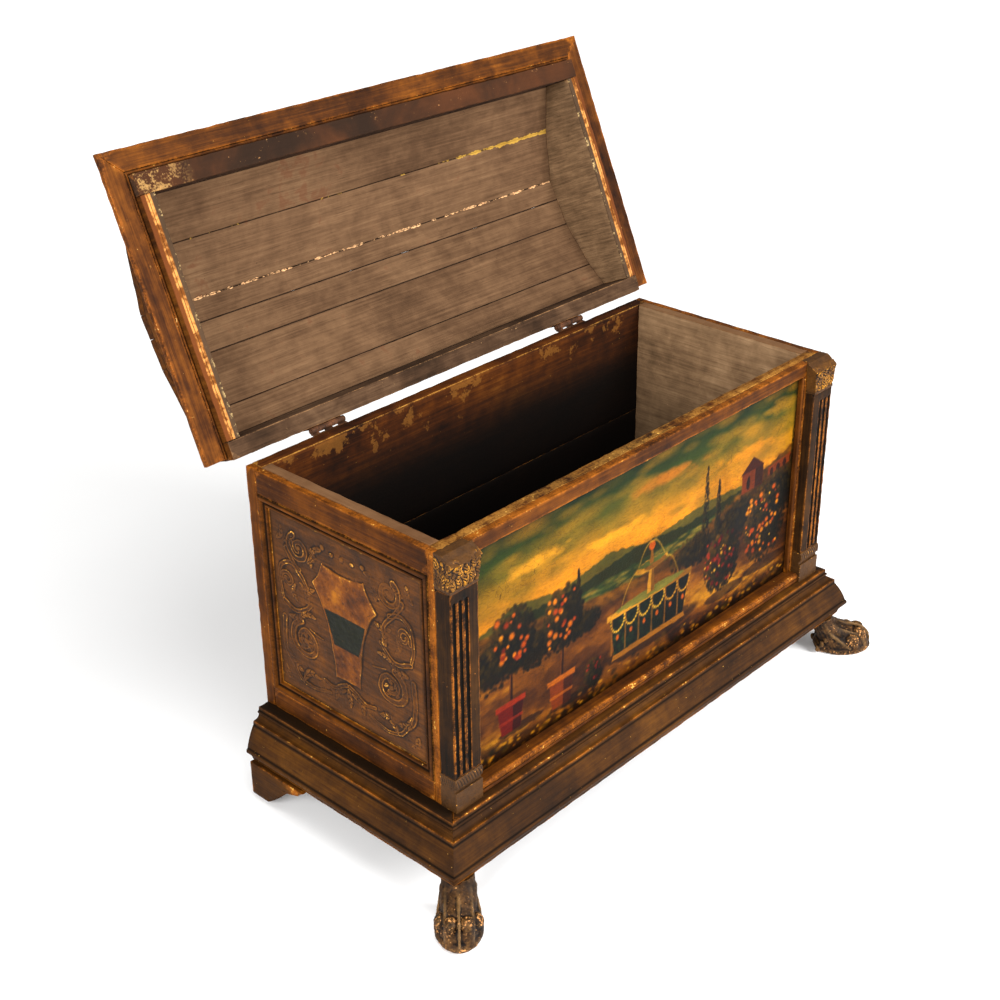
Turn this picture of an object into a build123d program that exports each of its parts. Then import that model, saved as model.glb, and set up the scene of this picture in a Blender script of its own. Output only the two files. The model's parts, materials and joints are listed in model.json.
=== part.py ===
from build123d import *
import os
from math import atan2, degrees, hypot, radians, tan

os.makedirs("parts", exist_ok=True)

# All sizes are in millimetres. x runs across the chest, y from its front to its back, z up.
# The pieces are drawn with the front board's face at y = 0 and the floor at z = 0.

# Carcass
body_width = 880.0
body_depth = 370.0
body_height = 398.0
front_board_thickness = 16.8
back_board_thickness = 21.6
end_board_thickness = 18.0
floor_board_thickness = 18.0
back_lower_board_height = 182.0

# Frame, bead and carved panel on each end
end_frame_thickness = 10.8
end_front_stile_width = 12.0
end_rear_stile_width = 20.0
end_top_rail_height = 38.0
end_bottom_rail_height = 33.0
bead_width = 18.0
bead_radius = 3.6
bead_rise = 2.4
bead_groove_depth = 3.6
bead_quirk = 1.0
inner_bead_radius = 2.2
inner_bead_margin = 1.2
carved_panel_thickness = 5.0
shield_relief = 2.4
shield_width = 132.0
shield_top_width = 84.0
shield_foot_width = 49.0
shield_height = 177.0
shield_waist = 67.0
shield_waist_drop = 104.0
shield_shoulder_drop = 40.0
shield_top_hollow = 5.0
shield_rise = 8.0
shield_setback = 3.0

# Painted front
pilaster_width = 52.0
pilaster_thickness = 28.0
pilaster_base_height = 55.0
pilaster_block_height = 33.0
pilaster_base_projection = 1.6
pilaster_fillet_height = 6.0
capital_height = 52.0
capital_neck_height = 4.0
capital_neck_projection = 1.0
capital_flare = 4.5
capital_top_slope = 13.0
abacus_height = 12.0
flute_count = 3
flute_width = 6.6
flute_depth = 3.2
flute_pitch = 11.4
flute_margin = 3.6
flute_end_gap = 18.0
front_top_rail_height = 22.0
front_top_rail_thickness = 13.0
front_stile_width = 12.0
front_stile_thickness = 13.0
front_stile_bead_radius = 2.6
front_bottom_rail_height = 17.0
front_bottom_rail_thickness = 26.6
front_bottom_bead_radius = 3.5
front_quirk = 1.0
front_bottom_bevel = 3.0
painted_panel_thickness = 5.0

# Plinth
plinth_height = 88.0
plinth_projection = 47.5
plinth_ledge = 17.5
plinth_fascia_height = 12.0
plinth_fascia_bead_radius = 2.4
plinth_step_projection = 30.0
plinth_step_top = 20.0
plinth_step_height = 7.0
plinth_face_height = 35.0
plinth_face_bulge = 1.6
plinth_hollow_depth = 2.2
plinth_ridge_radius = 5.0
plinth_undercut = 11.0
plinth_seat = 42.0
plinth_flange_thickness = 22.0
plinth_skirt_seat = 5.0
plinth_front_setback = 7.0
plinth_back_rail_thickness = 24.0
glue_block_length = 60.0
glue_block_height = 58.0

# Feet
foot_height = 66.0
paw_reach = 122.0
paw_heel_start = 6.0
paw_ankle_length = 46.0
paw_ankle_width = 54.0
paw_toe_width = 18.6
paw_toe_pitch = 15.0
paw_toe_spread = 1.2
paw_outer_toe_setback = 8.0
paw_outer_heel_setback = 12.0
paw_sole_margin = 4.0
paw_outer_toe_drop = 8.0
paw_knuckle_drop = 5.0
paw_knuckle_back = 46.0
paw_instep_back = 66.0
paw_instep_drop = 9.0
paw_joint_back = 24.0
paw_joint_height = 34.0
paw_tip_height = 10.5
paw_sole_back = 16.0
toe_cheek = 0.4
paw_dowel_radius = 9.0
paw_dowel_length = 50.0
dowel_clearance = 0.05
bracket_length = 122.0
bracket_bottom_length = 25.0
bracket_cusp_back = 82.0
bracket_cusp_height = 47.0
bracket_belly = 3.0
bracket_step_back = 110.0
bracket_step_height = 56.5
bracket_thickness = 28.0
bracket_foot_thickness = 20.0
bracket_setback = 4.4
bracket_curl_height = 17.0

# Lid
lid_opening_angle = 113.4
lid_front_overhang = 8.5
lid_rear_overhang = 4.0
lid_end_overhang = 12.5
lid_end_board_thickness = 24.0
lid_front_board_thickness = 30.5
lid_rear_board_thickness = 27.0
lid_end_lean = 4.0
lid_front_height = 50.5
lid_rear_height = 53.0
lid_crown_height = 103.0
lid_crown_from_front = 155.0
stave_thickness = 15.0
stave_1_width = 71.0
stave_3_width = 34.0
stave_4_width = 45.0
stave_6_width = 40.0
stave_1_rise = 29.5
stave_3_fall = 2.5
stave_4_fall = 4.0
stave_6_fall = 19.5
lid_seat_gap = 0.3
lid_moulding_rise = 12.0
lid_moulding_width = 37.5
lid_moulding_height = 38.0
lid_moulding_edge = 9.0
lid_moulding_fillet = 3.0
lid_moulding_cove_middle = 15.5
lid_moulding_cap_height = 5.0
lid_moulding_cap_projection = 4.0
lid_moulding_bead = 2.5
lid_moulding_quirk = 0.5

# Hinges
hinge_length = 64.0
hinge_leaf_thickness = 2.7
hinge_chest_leaf_width = 20.0
hinge_lid_leaf_width = 20.0
hinge_pin_setback = 9.0
hinge_pin_rise = 3.0
hinge_knuckle_radius = 4.6
hinge_pin_radius = 2.0
hinge_pin_clearance = 0.05
hinge_knuckle_gap = 0.3
hinge_knuckle_count = 5
hinge_plate_clearance = 0.4
hinge_pin_head_radius = 3.0
hinge_pin_head_height = 1.4
left_hinge_from_end = 161.0
right_hinge_from_end = 179.0
screw_shank_radius = 1.6
screw_head_radius = 3.2
screw_length = 15.0
screw_pitch = 21.0
screw_clearance = 0.05
screws_per_leaf = 3

# Allowance for cutting tools that run past a face
past = 1.0

# Levels and lines worked out from the sizes
half_width = body_width / 2
plinth_top = foot_height + plinth_height
rim = plinth_top + body_height
floor_top = plinth_top + floor_board_thickness
frame_x = half_width - end_frame_thickness
inner_x = frame_x - end_board_thickness
back_face = body_depth - back_board_thickness
pilaster_x = half_width - pilaster_width
plinth_front_line = -pilaster_thickness + plinth_front_setback
lean = tan(radians(lid_end_lean))

parts = {}


def block(x0, x1, y0, y1, z0, z1):
    """A board with square edges between two corners."""
    middle = Pos((x0 + x1) / 2, (y0 + y1) / 2, (z0 + z1) / 2)
    return middle * Box(x1 - x0, y1 - y0, z1 - z0)


def outline(start, *steps):
    """A closed face: each step is the end of a line, or the middle and end of an arc."""
    edges = []
    here = start
    for step in steps:
        if isinstance(step[0], tuple):
            edges.append(ThreePointArc(here, step[0], step[1]))
            here = step[1]
        else:
            edges.append(Line(here, step))
            here = step
    if here != start:
        edges.append(Line(here, start))
    return make_face(edges)


def along_x(face, x0, x1):
    """Extrudes a face drawn in y and z."""
    plane = Plane(origin=(x0, 0, 0), x_dir=(0, 1, 0), z_dir=(1, 0, 0))
    return extrude(plane * face, amount=x1 - x0)


def along_y(face, y0, y1):
    """Extrudes a face drawn in x and z."""
    plane = Plane(origin=(0, y1, 0), x_dir=(1, 0, 0), z_dir=(0, -1, 0))
    return extrude(plane * face, amount=y1 - y0)


def along_z(face, z0, z1):
    """Extrudes a face drawn in x and y."""
    return extrude(Pos(0, 0, z0) * face, amount=z1 - z0)


def add(name, shape):
    parts[name] = shape


def add_pair(name, left_shape):
    """The piece at the left end and its mirror image at the right end."""
    parts["left_" + name] = left_shape
    parts["right_" + name] = mirror(left_shape, about=Plane.YZ)


# ------------------------------------------------------------------ carcass boards

def carcass():
    add("front_board", block(-frame_x, frame_x, 0, front_board_thickness, floor_top, rim))
    seam = floor_top + back_lower_board_height
    add("back_board_lower", block(-frame_x, frame_x, back_face, body_depth, floor_top, seam))
    upper = block(-frame_x, frame_x, back_face, body_depth, seam, rim)
    for screw in chest_screws(screw_clearance):
        upper -= screw
    add("back_board_upper", upper)
    add_pair("end_board", block(-frame_x, -inner_x, front_board_thickness, back_face, floor_top, rim))
    middle = body_depth / 2
    add("floor_board_front", block(-frame_x, frame_x, 0, middle, plinth_top, floor_top))
    add("floor_board_rear", block(-frame_x, frame_x, middle, body_depth, plinth_top, floor_top))


# ------------------------------------------------------------------ ends

opening_front = end_front_stile_width
opening_rear = body_depth - end_rear_stile_width
opening_bottom = plinth_top + end_bottom_rail_height
opening_top = rim - end_top_rail_height


def bead_profile():
    """Section of the bead strip: across its width, and out from the end board."""
    face = end_frame_thickness
    bead_middle = bead_quirk + bead_radius
    bead_end = bead_middle + bead_radius
    groove = face - bead_groove_depth
    ridge_end = bead_width - inner_bead_margin
    ridge_middle = ridge_end - inner_bead_radius
    ridge_start = ridge_middle - inner_bead_radius
    return outline(
        (0, 0),
        (0, face),
        (bead_quirk, face),
        ((bead_middle, face + bead_rise), (bead_end, face)),
        (bead_end + bead_quirk, groove),
        (ridge_start, groove),
        ((ridge_middle, groove + inner_bead_radius), (ridge_end, groove)),
        (bead_width, carved_panel_thickness),
        (bead_width, 0),
    )


def bead_strip(length):
    """One strip of bead, mitred at both ends, along y with its outer edge at z = 0."""
    strip = along_y(bead_profile(), -length / 2, length / 2)
    strip = Rot(0, -90, 0) * strip
    wedge = outline(
        (-length / 2, 0),
        (length / 2, 0),
        (length / 2 - bead_width, bead_width),
        (-length / 2 + bead_width, bead_width),
    )
    deepest = end_frame_thickness + bead_rise
    return strip & along_x(wedge, -deepest, 0)


def end_frames():
    out = -half_width
    add_pair("end_front_stile", block(out, -frame_x, 0, opening_front, plinth_top, rim))
    add_pair("end_rear_stile", block(out, -frame_x, opening_rear, body_depth, plinth_top, rim))
    add_pair("end_top_rail", block(out, -frame_x, opening_front, opening_rear, opening_top, rim))
    low = block(out, -frame_x, opening_front, opening_rear, plinth_top, opening_bottom)
    add_pair("end_bottom_rail", low)
    wide = opening_rear - opening_front
    tall = opening_top - opening_bottom
    middle_y = (opening_front + opening_rear) / 2
    middle_z = (opening_bottom + opening_top) / 2
    strips = [
        Pos(-frame_x, middle_y, opening_bottom) * bead_strip(wide),
        Pos(-frame_x, middle_y, opening_top) * Rot(180, 0, 0) * bead_strip(wide),
        Pos(-frame_x, opening_front, middle_z) * Rot(-90, 0, 0) * bead_strip(tall),
        Pos(-frame_x, opening_rear, middle_z) * Rot(90, 0, 0) * bead_strip(tall),
    ]
    add_pair("end_bead_moulding", Compound(strips))
    add_pair("end_carved_panel", carved_panel(middle_y, middle_z))


def shield_outline():
    """Shield with a hollow top, shoulders, hollow flanks and a straight foot."""
    half = shield_width / 2
    top = shield_height / 2
    waist = shield_waist / 2
    waist_z = top - shield_waist_drop
    foot = shield_foot_width / 2
    shoulder = top - shield_shoulder_drop
    corner = shield_top_width / 2
    hollow = top - shield_top_hollow
    neck_x = (corner + half) / 2 - shield_top_hollow
    neck_z = (top + shoulder) / 2
    return outline(
        (-corner, top),
        ((0, hollow), (corner, top)),
        ((neck_x, neck_z), (half, shoulder)),
        ((waist, waist_z), (foot, -top)),
        (-foot, -top),
        ((-waist, waist_z), (-half, shoulder)),
        ((-neck_x, neck_z), (-corner, top)),
    )


def carved_panel(middle_y, middle_z):
    board = block(
        -frame_x - carved_panel_thickness, -frame_x,
        opening_front + bead_width, opening_rear - bead_width,
        opening_bottom + bead_width, opening_top - bead_width,
    )
    face = -frame_x - carved_panel_thickness
    shield_place = Pos(middle_y + shield_setback, middle_z + shield_rise)
    shield = along_x(shield_place * shield_outline(), face - shield_relief, face)
    return board + shield


# ------------------------------------------------------------------ painted front

shaft_bottom = plinth_top + pilaster_base_height
shaft_top = rim - capital_height
panel_bottom = plinth_top + front_bottom_rail_height
panel_top = rim - front_top_rail_height
panel_x = pilaster_x - front_stile_width


def pilaster_shaft():
    shaft = block(-half_width, -pilaster_x, -pilaster_thickness, 0, shaft_bottom, shaft_top)
    groove_radius = (flute_width ** 2 / 4 + flute_depth ** 2) / (2 * flute_depth)
    centre_y = -pilaster_thickness + flute_depth - groove_radius
    low = shaft_bottom + flute_width
    high = shaft_top - flute_end_gap
    for number in range(flute_count):
        x = -half_width + flute_margin + flute_width / 2 + number * flute_pitch
        shaft -= Pos(x, centre_y, (low + high) / 2) * Cylinder(groove_radius, high - low)
        for end in (low, high):
            shaft -= Pos(x, centre_y, end) * Sphere(groove_radius)
    return shaft


def pilaster_base():
    """Plain block, fillet and torus, drawn from the side."""
    front = -pilaster_thickness
    block_front = front - pilaster_base_projection
    block_top = plinth_top + pilaster_block_height
    torus_bottom = block_top + pilaster_fillet_height
    torus_middle = (torus_bottom + shaft_bottom) / 2
    side = outline(
        (0, plinth_top),
        (block_front, plinth_top),
        (block_front, block_top),
        (front + pilaster_base_projection, block_top),
        (front + pilaster_base_projection, torus_bottom),
        (front, torus_bottom),
        ((block_front, torus_middle), (front, shaft_bottom)),
        (0, shaft_bottom),
    )
    return along_x(side, -half_width, -pilaster_x)


def pilaster_capital():
    """Bell that widens upwards under an abacus with a worn, sloping top."""
    front = -pilaster_thickness
    flared = front - capital_flare
    abacus_bottom = rim - abacus_height
    neck = front - capital_neck_projection
    neck_top = shaft_top + capital_neck_height
    bell_middle = (shaft_top + abacus_bottom) / 2
    hollow = capital_flare / 3
    side = outline(
        (0, shaft_top),
        (neck, shaft_top),
        (neck, neck_top),
        (front, neck_top),
        ((front - hollow, bell_middle), (flared, abacus_bottom)),
        (front + capital_top_slope, rim),
        (0, rim),
    )
    inner = -pilaster_x
    body = along_x(side, -half_width, inner + capital_flare)
    bell = outline(
        (-half_width, shaft_top),
        (inner, shaft_top),
        ((inner + hollow, bell_middle), (inner + capital_flare, abacus_bottom)),
        (inner + capital_flare, rim),
        (-half_width, rim),
    )
    proud = along_y(bell, flared, -front_top_rail_thickness)
    backed = block(-half_width, inner, -front_top_rail_thickness, 0, shaft_top, rim)
    return body & (proud + backed)


def front_bottom_rail():
    front = -front_bottom_rail_thickness
    bead_top = plinth_top + 2 * front_bottom_bead_radius
    set_in = front + front_bottom_bead_radius
    side = outline(
        (0, plinth_top),
        (set_in, plinth_top),
        ((front, plinth_top + front_bottom_bead_radius), (set_in, bead_top)),
        (set_in, bead_top + front_quirk),
        (front, bead_top + front_quirk),
        (front, panel_bottom - front_bottom_bevel),
        (front + front_bottom_bevel, panel_bottom),
        (0, panel_bottom),
    )
    return along_x(side, -pilaster_x, pilaster_x)


def front_stile():
    """Narrow strip with a bead beside the painted panel."""
    front = -front_stile_thickness
    bead_side = -panel_x - 2 * front_stile_bead_radius
    plan = outline(
        (-pilaster_x, 0),
        (-pilaster_x, front),
        (bead_side - front_quirk, front),
        (bead_side, front + front_stile_bead_radius),
        ((bead_side + front_stile_bead_radius, front), (-panel_x, front + front_stile_bead_radius)),
        (-panel_x, 0),
    )
    return along_z(plan, panel_bottom, panel_top)


def painted_front():
    add_pair("pilaster_base", pilaster_base())
    add_pair("pilaster_shaft", pilaster_shaft())
    add_pair("pilaster_capital", pilaster_capital())
    add("front_bottom_rail", front_bottom_rail())
    top = block(-pilaster_x, pilaster_x, -front_top_rail_thickness, 0, panel_top, rim)
    add("front_top_rail", top)
    add_pair("front_stile", front_stile())
    panel = block(-panel_x, panel_x, -painted_panel_thickness, 0, panel_bottom, panel_top)
    add("painted_panel", panel)


# ------------------------------------------------------------------ plinth

def plinth_profile():
    """Moulding section: p out from the chest's side, and height from the floor."""
    out = plinth_projection
    top = plinth_top
    bottom = foot_height
    bead = plinth_fascia_bead_radius
    fascia_bottom = top - plinth_fascia_height
    step_top = top - plinth_step_top
    step_bottom = step_top - plinth_step_height
    face_bottom = step_bottom - plinth_face_height
    face_top_x = plinth_step_projection
    face_x = out - plinth_ridge_radius / 2
    ridge_middle = face_bottom - plinth_ridge_radius
    ridge_bottom = face_bottom - 2 * plinth_ridge_radius
    face_middle_x = (face_top_x + face_x) / 2 + plinth_face_bulge
    hollow_x = out - plinth_undercut + plinth_hollow_depth
    return outline(
        (-plinth_seat, top),
        (plinth_ledge, top),
        (plinth_ledge, fascia_bottom + 2 * bead),
        ((plinth_ledge + bead, fascia_bottom + bead), (plinth_ledge, fascia_bottom)),
        ((plinth_ledge + bead, step_top + bead), (face_top_x, step_top)),
        (face_top_x, step_bottom),
        ((face_middle_x, (step_bottom + face_bottom) / 2), (face_x, face_bottom)),
        ((out, ridge_middle), (face_x, ridge_bottom)),
        ((hollow_x, (ridge_bottom + bottom) / 2), (out - plinth_undercut, bottom)),
        (-plinth_skirt_seat, bottom),
        (-plinth_skirt_seat, top - plinth_flange_thickness),
        (-plinth_seat, top - plinth_flange_thickness),
    )


def mirror_profile(face):
    return mirror(face, about=Plane.YZ)


def plinth():
    far = plinth_projection + past
    corner_y = plinth_front_line
    side = along_y(Pos(-half_width, 0) * mirror_profile(plinth_profile()), corner_y - far, body_depth)
    behind_mitre = outline(
        (-half_width - far, corner_y - far),
        (-half_width + plinth_seat, corner_y + plinth_seat),
        (-half_width + plinth_seat, body_depth),
        (-half_width - far, body_depth),
    )
    add_pair("plinth_end_moulding", side & along_z(behind_mitre, foot_height, plinth_top))
    front_profile = Pos(corner_y, 0) * mirror_profile(plinth_profile())
    front = along_x(front_profile, -half_width - far, half_width + far)
    before_mitre = outline(
        (-half_width - far, corner_y - far),
        (half_width + far, corner_y - far),
        (half_width - plinth_seat, corner_y + plinth_seat),
        (-half_width + plinth_seat, corner_y + plinth_seat),
    )
    front = front & along_z(before_mitre, foot_height, plinth_top)
    add("plinth_front_moulding", front)
    flange_bottom = plinth_top - plinth_flange_thickness
    rail_front = body_depth - plinth_back_rail_thickness
    skirt_x = half_width - plinth_skirt_seat
    seat_x = half_width - plinth_seat
    rail = block(-skirt_x, skirt_x, rail_front, body_depth, foot_height, flange_bottom)
    rail += block(-seat_x, seat_x, rail_front, body_depth, flange_bottom, plinth_top)
    add("plinth_back_rail", rail)
    block_bottom = flange_bottom - glue_block_height
    front_start = corner_y + plinth_skirt_seat
    spans = [
        (front_start, front_start + glue_block_length),
        (rail_front - glue_block_length, rail_front),
    ]
    blocks = []
    for start, end in spans:
        for x0, x1 in ((-skirt_x, -seat_x), (seat_x, skirt_x)):
            blocks.append(block(x0, x1, start, end, block_bottom, flange_bottom))
    add("plinth_glue_blocks", Compound(blocks))


# ------------------------------------------------------------------ feet

def toe_bone(start, end, radius):
    """Round bar between two points of a toe's middle plane."""
    across, up = end[0] - start[0], end[1] - start[1]
    middle = Pos((start[0] + end[0]) / 2, 0, (start[1] + end[1]) / 2)
    return middle * Rot(0, degrees(atan2(across, up)), 0) * Cylinder(radius, hypot(across, up))


def paw_toe(reach, knuckle_top, heel):
    """One toe: low instep, high knuckle, and a round tip that drops to a flat sole."""
    radius = paw_toe_width / 2
    instep = knuckle_top - paw_instep_drop - radius
    joints = [
        (reach - paw_instep_back, instep),
        (reach - paw_knuckle_back, knuckle_top - radius),
        (reach - paw_joint_back, paw_joint_height),
        (reach - radius, paw_tip_height),
    ]
    low = paw_tip_height
    side = outline((heel, low), *reversed(joints), (heel, instep))
    toe = along_y(side, -radius + toe_cheek, radius - toe_cheek)
    sole = outline((heel, 0), (reach - paw_sole_back, 0), joints[-1], (heel, low))
    toe += along_y(sole, -radius + paw_sole_margin, radius - paw_sole_margin)
    toe += toe_bone((heel, low), joints[-1], radius)
    for start, end in zip(joints, joints[1:]):
        toe += toe_bone(start, end, radius)
    for x, z in joints:
        toe += Pos(x, 0, z) * Sphere(radius)
    return toe


def paw_foot():
    """Lion's paw, with its toes towards +x and the chest's corner above its heel."""
    ankle_x = paw_heel_start + paw_ankle_length / 2
    ankle_face = Pos(ankle_x, 0) * Ellipse(paw_ankle_length / 2, paw_ankle_width / 2)
    paw = along_z(ankle_face, 0, foot_height)
    for place in (-1.5, -0.5, 0.5, 1.5):
        outer = abs(place) > 1
        reach = paw_reach - (paw_outer_toe_setback if outer else 0)
        knuckle_top = foot_height - paw_knuckle_drop - (paw_outer_toe_drop if outer else 0)
        heel = paw_heel_start + paw_toe_width / 2 + (paw_outer_heel_setback if outer else 0)
        turned = Pos(0, place * paw_toe_pitch, 0) * Rot(0, 0, place * paw_toe_spread)
        paw += turned * paw_toe(reach, knuckle_top, heel)
    return paw


def bracket_foot():
    """Shaped board under the rear of the left end of the plinth."""
    top = foot_height
    rear = body_depth
    toe = rear - bracket_bottom_length
    cusp = rear - bracket_cusp_back
    step = rear - bracket_step_back
    tip = rear - bracket_length
    side = outline(
        (rear, top),
        (rear, 0),
        (toe, 0),
        (((toe + cusp) / 2, bracket_cusp_height / 2 - bracket_belly), (cusp, bracket_cusp_height)),
        (step, bracket_step_height),
        (((step + tip) / 2, (bracket_step_height + 2 * top) / 3), (tip, top)),
    )
    outer = -half_width - plinth_projection + bracket_setback
    inner = outer + bracket_thickness
    sole = inner - bracket_foot_thickness
    end = outline(
        (inner, top),
        (inner, 0),
        (sole, 0),
        (((outer * 3 + sole) / 4, bracket_curl_height / 3), (outer, bracket_curl_height)),
        (outer, top),
    )
    return along_x(side, outer, inner) & along_y(end, tip, rear)


def paw_place():
    return Pos(-half_width, -pilaster_thickness, 0) * Rot(0, 0, 225)


def dowel_hole(radius, extra):
    """Dowel that joins a paw to the plinth corner, or the hole for it."""
    middle = paw_heel_start + paw_ankle_length / 2
    length = paw_dowel_length + extra
    return paw_place() * Pos(middle, 0, foot_height) * Cylinder(radius, length)


def feet():
    hole = dowel_hole(paw_dowel_radius + dowel_clearance, past)
    add_pair("paw_foot", paw_place() * paw_foot() - hole)
    left_dowel = dowel_hole(paw_dowel_radius, 0)
    add("paw_dowels", Compound([left_dowel, mirror(left_dowel, about=Plane.YZ)]))
    for name in ("left_plinth_end_moulding", "plinth_front_moulding", "right_plinth_end_moulding"):
        drilled = parts[name] - hole - mirror(hole, about=Plane.YZ)
        parts[name] = drilled
    add_pair("rear_bracket_foot", bracket_foot())


# ------------------------------------------------------------------ hinges, drawn closed

pin_y = body_depth + hinge_pin_setback
pin_z = rim + hinge_pin_rise
chest_leaf_top = rim - hinge_plate_clearance
chest_leaf_bottom = chest_leaf_top - hinge_chest_leaf_width
lid_leaf_bottom = pin_z + hinge_knuckle_radius + hinge_plate_clearance
lid_leaf_top = lid_leaf_bottom + hinge_lid_leaf_width
hinge_centres = (-half_width + left_hinge_from_end, half_width - right_hinge_from_end)
lid_rear = body_depth + lid_rear_overhang
lid_bottom = rim + lid_seat_gap


def along_hinge(radius, x0, x1):
    """Round bar on the pin's line."""
    return Pos((x0 + x1) / 2, pin_y, pin_z) * Rot(0, 90, 0) * Cylinder(radius, x1 - x0)


def screw_places(centre):
    """Positions of a leaf's screws along the hinge."""
    first = centre - screw_pitch * (screws_per_leaf - 1) / 2
    return [first + number * screw_pitch for number in range(screws_per_leaf)]


def screws(face_y, z, clearance):
    """Countersunk screws of both hinges, driven from behind, with their heads flush at face_y."""
    cone_height = screw_head_radius - screw_shank_radius
    head = Cone(
        screw_shank_radius + clearance, screw_head_radius + clearance, cone_height,
        align=(Align.CENTER, Align.CENTER, Align.MAX),
    )
    shank = Cylinder(
        screw_shank_radius + clearance, screw_length,
        align=(Align.CENTER, Align.CENTER, Align.MAX),
    )
    screw = Rot(-90, 0, 0) * (head + shank)
    return [Pos(x, face_y, z) * screw for centre in hinge_centres for x in screw_places(centre)]


def chest_screws(clearance):
    middle = (chest_leaf_bottom + chest_leaf_top) / 2
    return screws(body_depth + hinge_leaf_thickness, middle, clearance)


def lid_screws(clearance):
    middle = (lid_leaf_bottom + lid_leaf_top) / 2
    return screws(lid_rear + hinge_leaf_thickness, middle, clearance)


def knuckles(centre, own, arm):
    """The knuckles whose number is in own, each with its arm (y and z from, y and z to)."""
    start = centre - hinge_length / 2
    spacing = (hinge_length + hinge_knuckle_gap) / hinge_knuckle_count
    shape = None
    for number in own:
        x0 = start + number * spacing
        x1 = x0 + spacing - hinge_knuckle_gap
        piece = block(x0, x1, *arm) + along_hinge(hinge_knuckle_radius, x0, x1)
        shape = piece if shape is None else shape + piece
    return shape


def hinge_leaf(centre, face_y, bottom, top, own, arm, holes):
    """One leaf: a plate on the wood's rear face, its knuckles, the bore and the screw holes."""
    start = centre - hinge_length / 2
    leaf = block(start, start + hinge_length, face_y, face_y + hinge_leaf_thickness, bottom, top)
    leaf += knuckles(centre, own, arm)
    bore = hinge_pin_radius + hinge_pin_clearance
    leaf -= along_hinge(bore, start - past, start + hinge_length + past)
    for hole in holes:
        leaf -= hole
    return leaf


def hinge_pin(centre):
    start = centre - hinge_length / 2
    end = start + hinge_length
    pin = along_hinge(hinge_pin_radius, start, end)
    pin += along_hinge(hinge_pin_head_radius, start - hinge_pin_head_height, start)
    return pin + along_hinge(hinge_pin_head_radius, end, end + hinge_pin_head_height)


def chest_hinges():
    """The chest's leaves are cranked: their arms reach back under the pin."""
    own = range(hinge_knuckle_count)[0::2]
    arm = (body_depth, pin_y, chest_leaf_top - hinge_leaf_thickness, chest_leaf_top)
    holes = chest_screws(screw_clearance)
    for side, centre in zip(("left", "right"), hinge_centres):
        leaf = hinge_leaf(centre, body_depth, chest_leaf_bottom, chest_leaf_top, own, arm, holes)
        add(side + "_hinge_chest_leaf", leaf)
    add("hinge_pins", Compound([hinge_pin(centre) for centre in hinge_centres]))
    add("hinge_chest_screws", Compound(chest_screws(0)))


# ------------------------------------------------------------------ lid, drawn closed

def offset_line(a, b, distance):
    """A line through a and b moved to its left by distance."""
    dx, dy = b[0] - a[0], b[1] - a[1]
    length = (dx * dx + dy * dy) ** 0.5
    nx, ny = -dy / length * distance, dx / length * distance
    return (a[0] + nx, a[1] + ny), (b[0] + nx, b[1] + ny)


def crossing(first, second):
    """Where two lines meet."""
    (ax, ay), (bx, by) = first
    (cx, cy), (dx, dy) = second
    across = (bx - ax) * (dy - cy) - (by - ay) * (dx - cx)
    share = ((cx - ax) * (dy - cy) - (cy - ay) * (dx - cx)) / across
    return ax + share * (bx - ax), ay + share * (by - ay)


lid_front = -pilaster_thickness - lid_front_overhang
front_inner = lid_front + lid_front_board_thickness
rear_inner = lid_rear - lid_rear_board_thickness
crown = front_inner + lid_crown_from_front
seam_3 = crown + stave_3_width
seam_4 = seam_3 + stave_4_width
height_3 = lid_crown_height - stave_3_fall
inner_line = [
    (rear_inner, 0),
    (rear_inner, lid_rear_height),
    (rear_inner - stave_6_width, lid_rear_height + stave_6_fall),
    (seam_4, height_3 - stave_4_fall),
    (seam_3, height_3),
    (crown, lid_crown_height),
    (front_inner + stave_1_width, lid_front_height + stave_1_rise),
    (front_inner, lid_front_height),
    (front_inner, 0),
]


def lid_section():
    """Inner and outer points of the lid's boards, from the rear bottom to the front bottom."""
    last = len(inner_line) - 2
    lines = []
    for number in range(last + 1):
        thickness = stave_thickness
        if number == 0:
            thickness = lid_rear_board_thickness
        if number == last:
            thickness = lid_front_board_thickness
        lines.append(offset_line(inner_line[number], inner_line[number + 1], -thickness))
    level = ((0, 0), (1, 0))
    outer = [crossing(level, lines[0])]
    for first, second in zip(lines, lines[1:]):
        outer.append(crossing(first, second))
    outer.append(crossing(level, lines[-1]))
    return outer


lid_outer = lid_section()
lid_high = max(point[1] for point in lid_outer) + past
lid_outer_x = half_width + lid_end_overhang


def between_lid_ends(inset):
    """Everything between the two leaning planes, inset from the lid's outer ends."""
    low = lid_outer_x - inset
    high = low - lid_high * lean
    ends = outline((-low, 0), (low, 0), (high, lid_high), (-high, lid_high))
    return Pos(0, 0, lid_bottom) * along_y(ends, lid_outer[-1][0] - past, lid_outer[0][0] + past)


def lid_board(number, cutter):
    """One board of the lid's shell, across its whole width."""
    section = outline(
        inner_line[number], inner_line[number + 1], lid_outer[number + 1], lid_outer[number],
    )
    board = Pos(0, 0, lid_bottom) * along_x(section, -lid_outer_x, lid_outer_x)
    return board & cutter


def lid_end_board(hull, hollow):
    inside = outline(*inner_line)
    slab = Pos(0, 0, lid_bottom) * along_x(inside, -lid_outer_x, 0)
    return (slab & hull) - hollow


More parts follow.
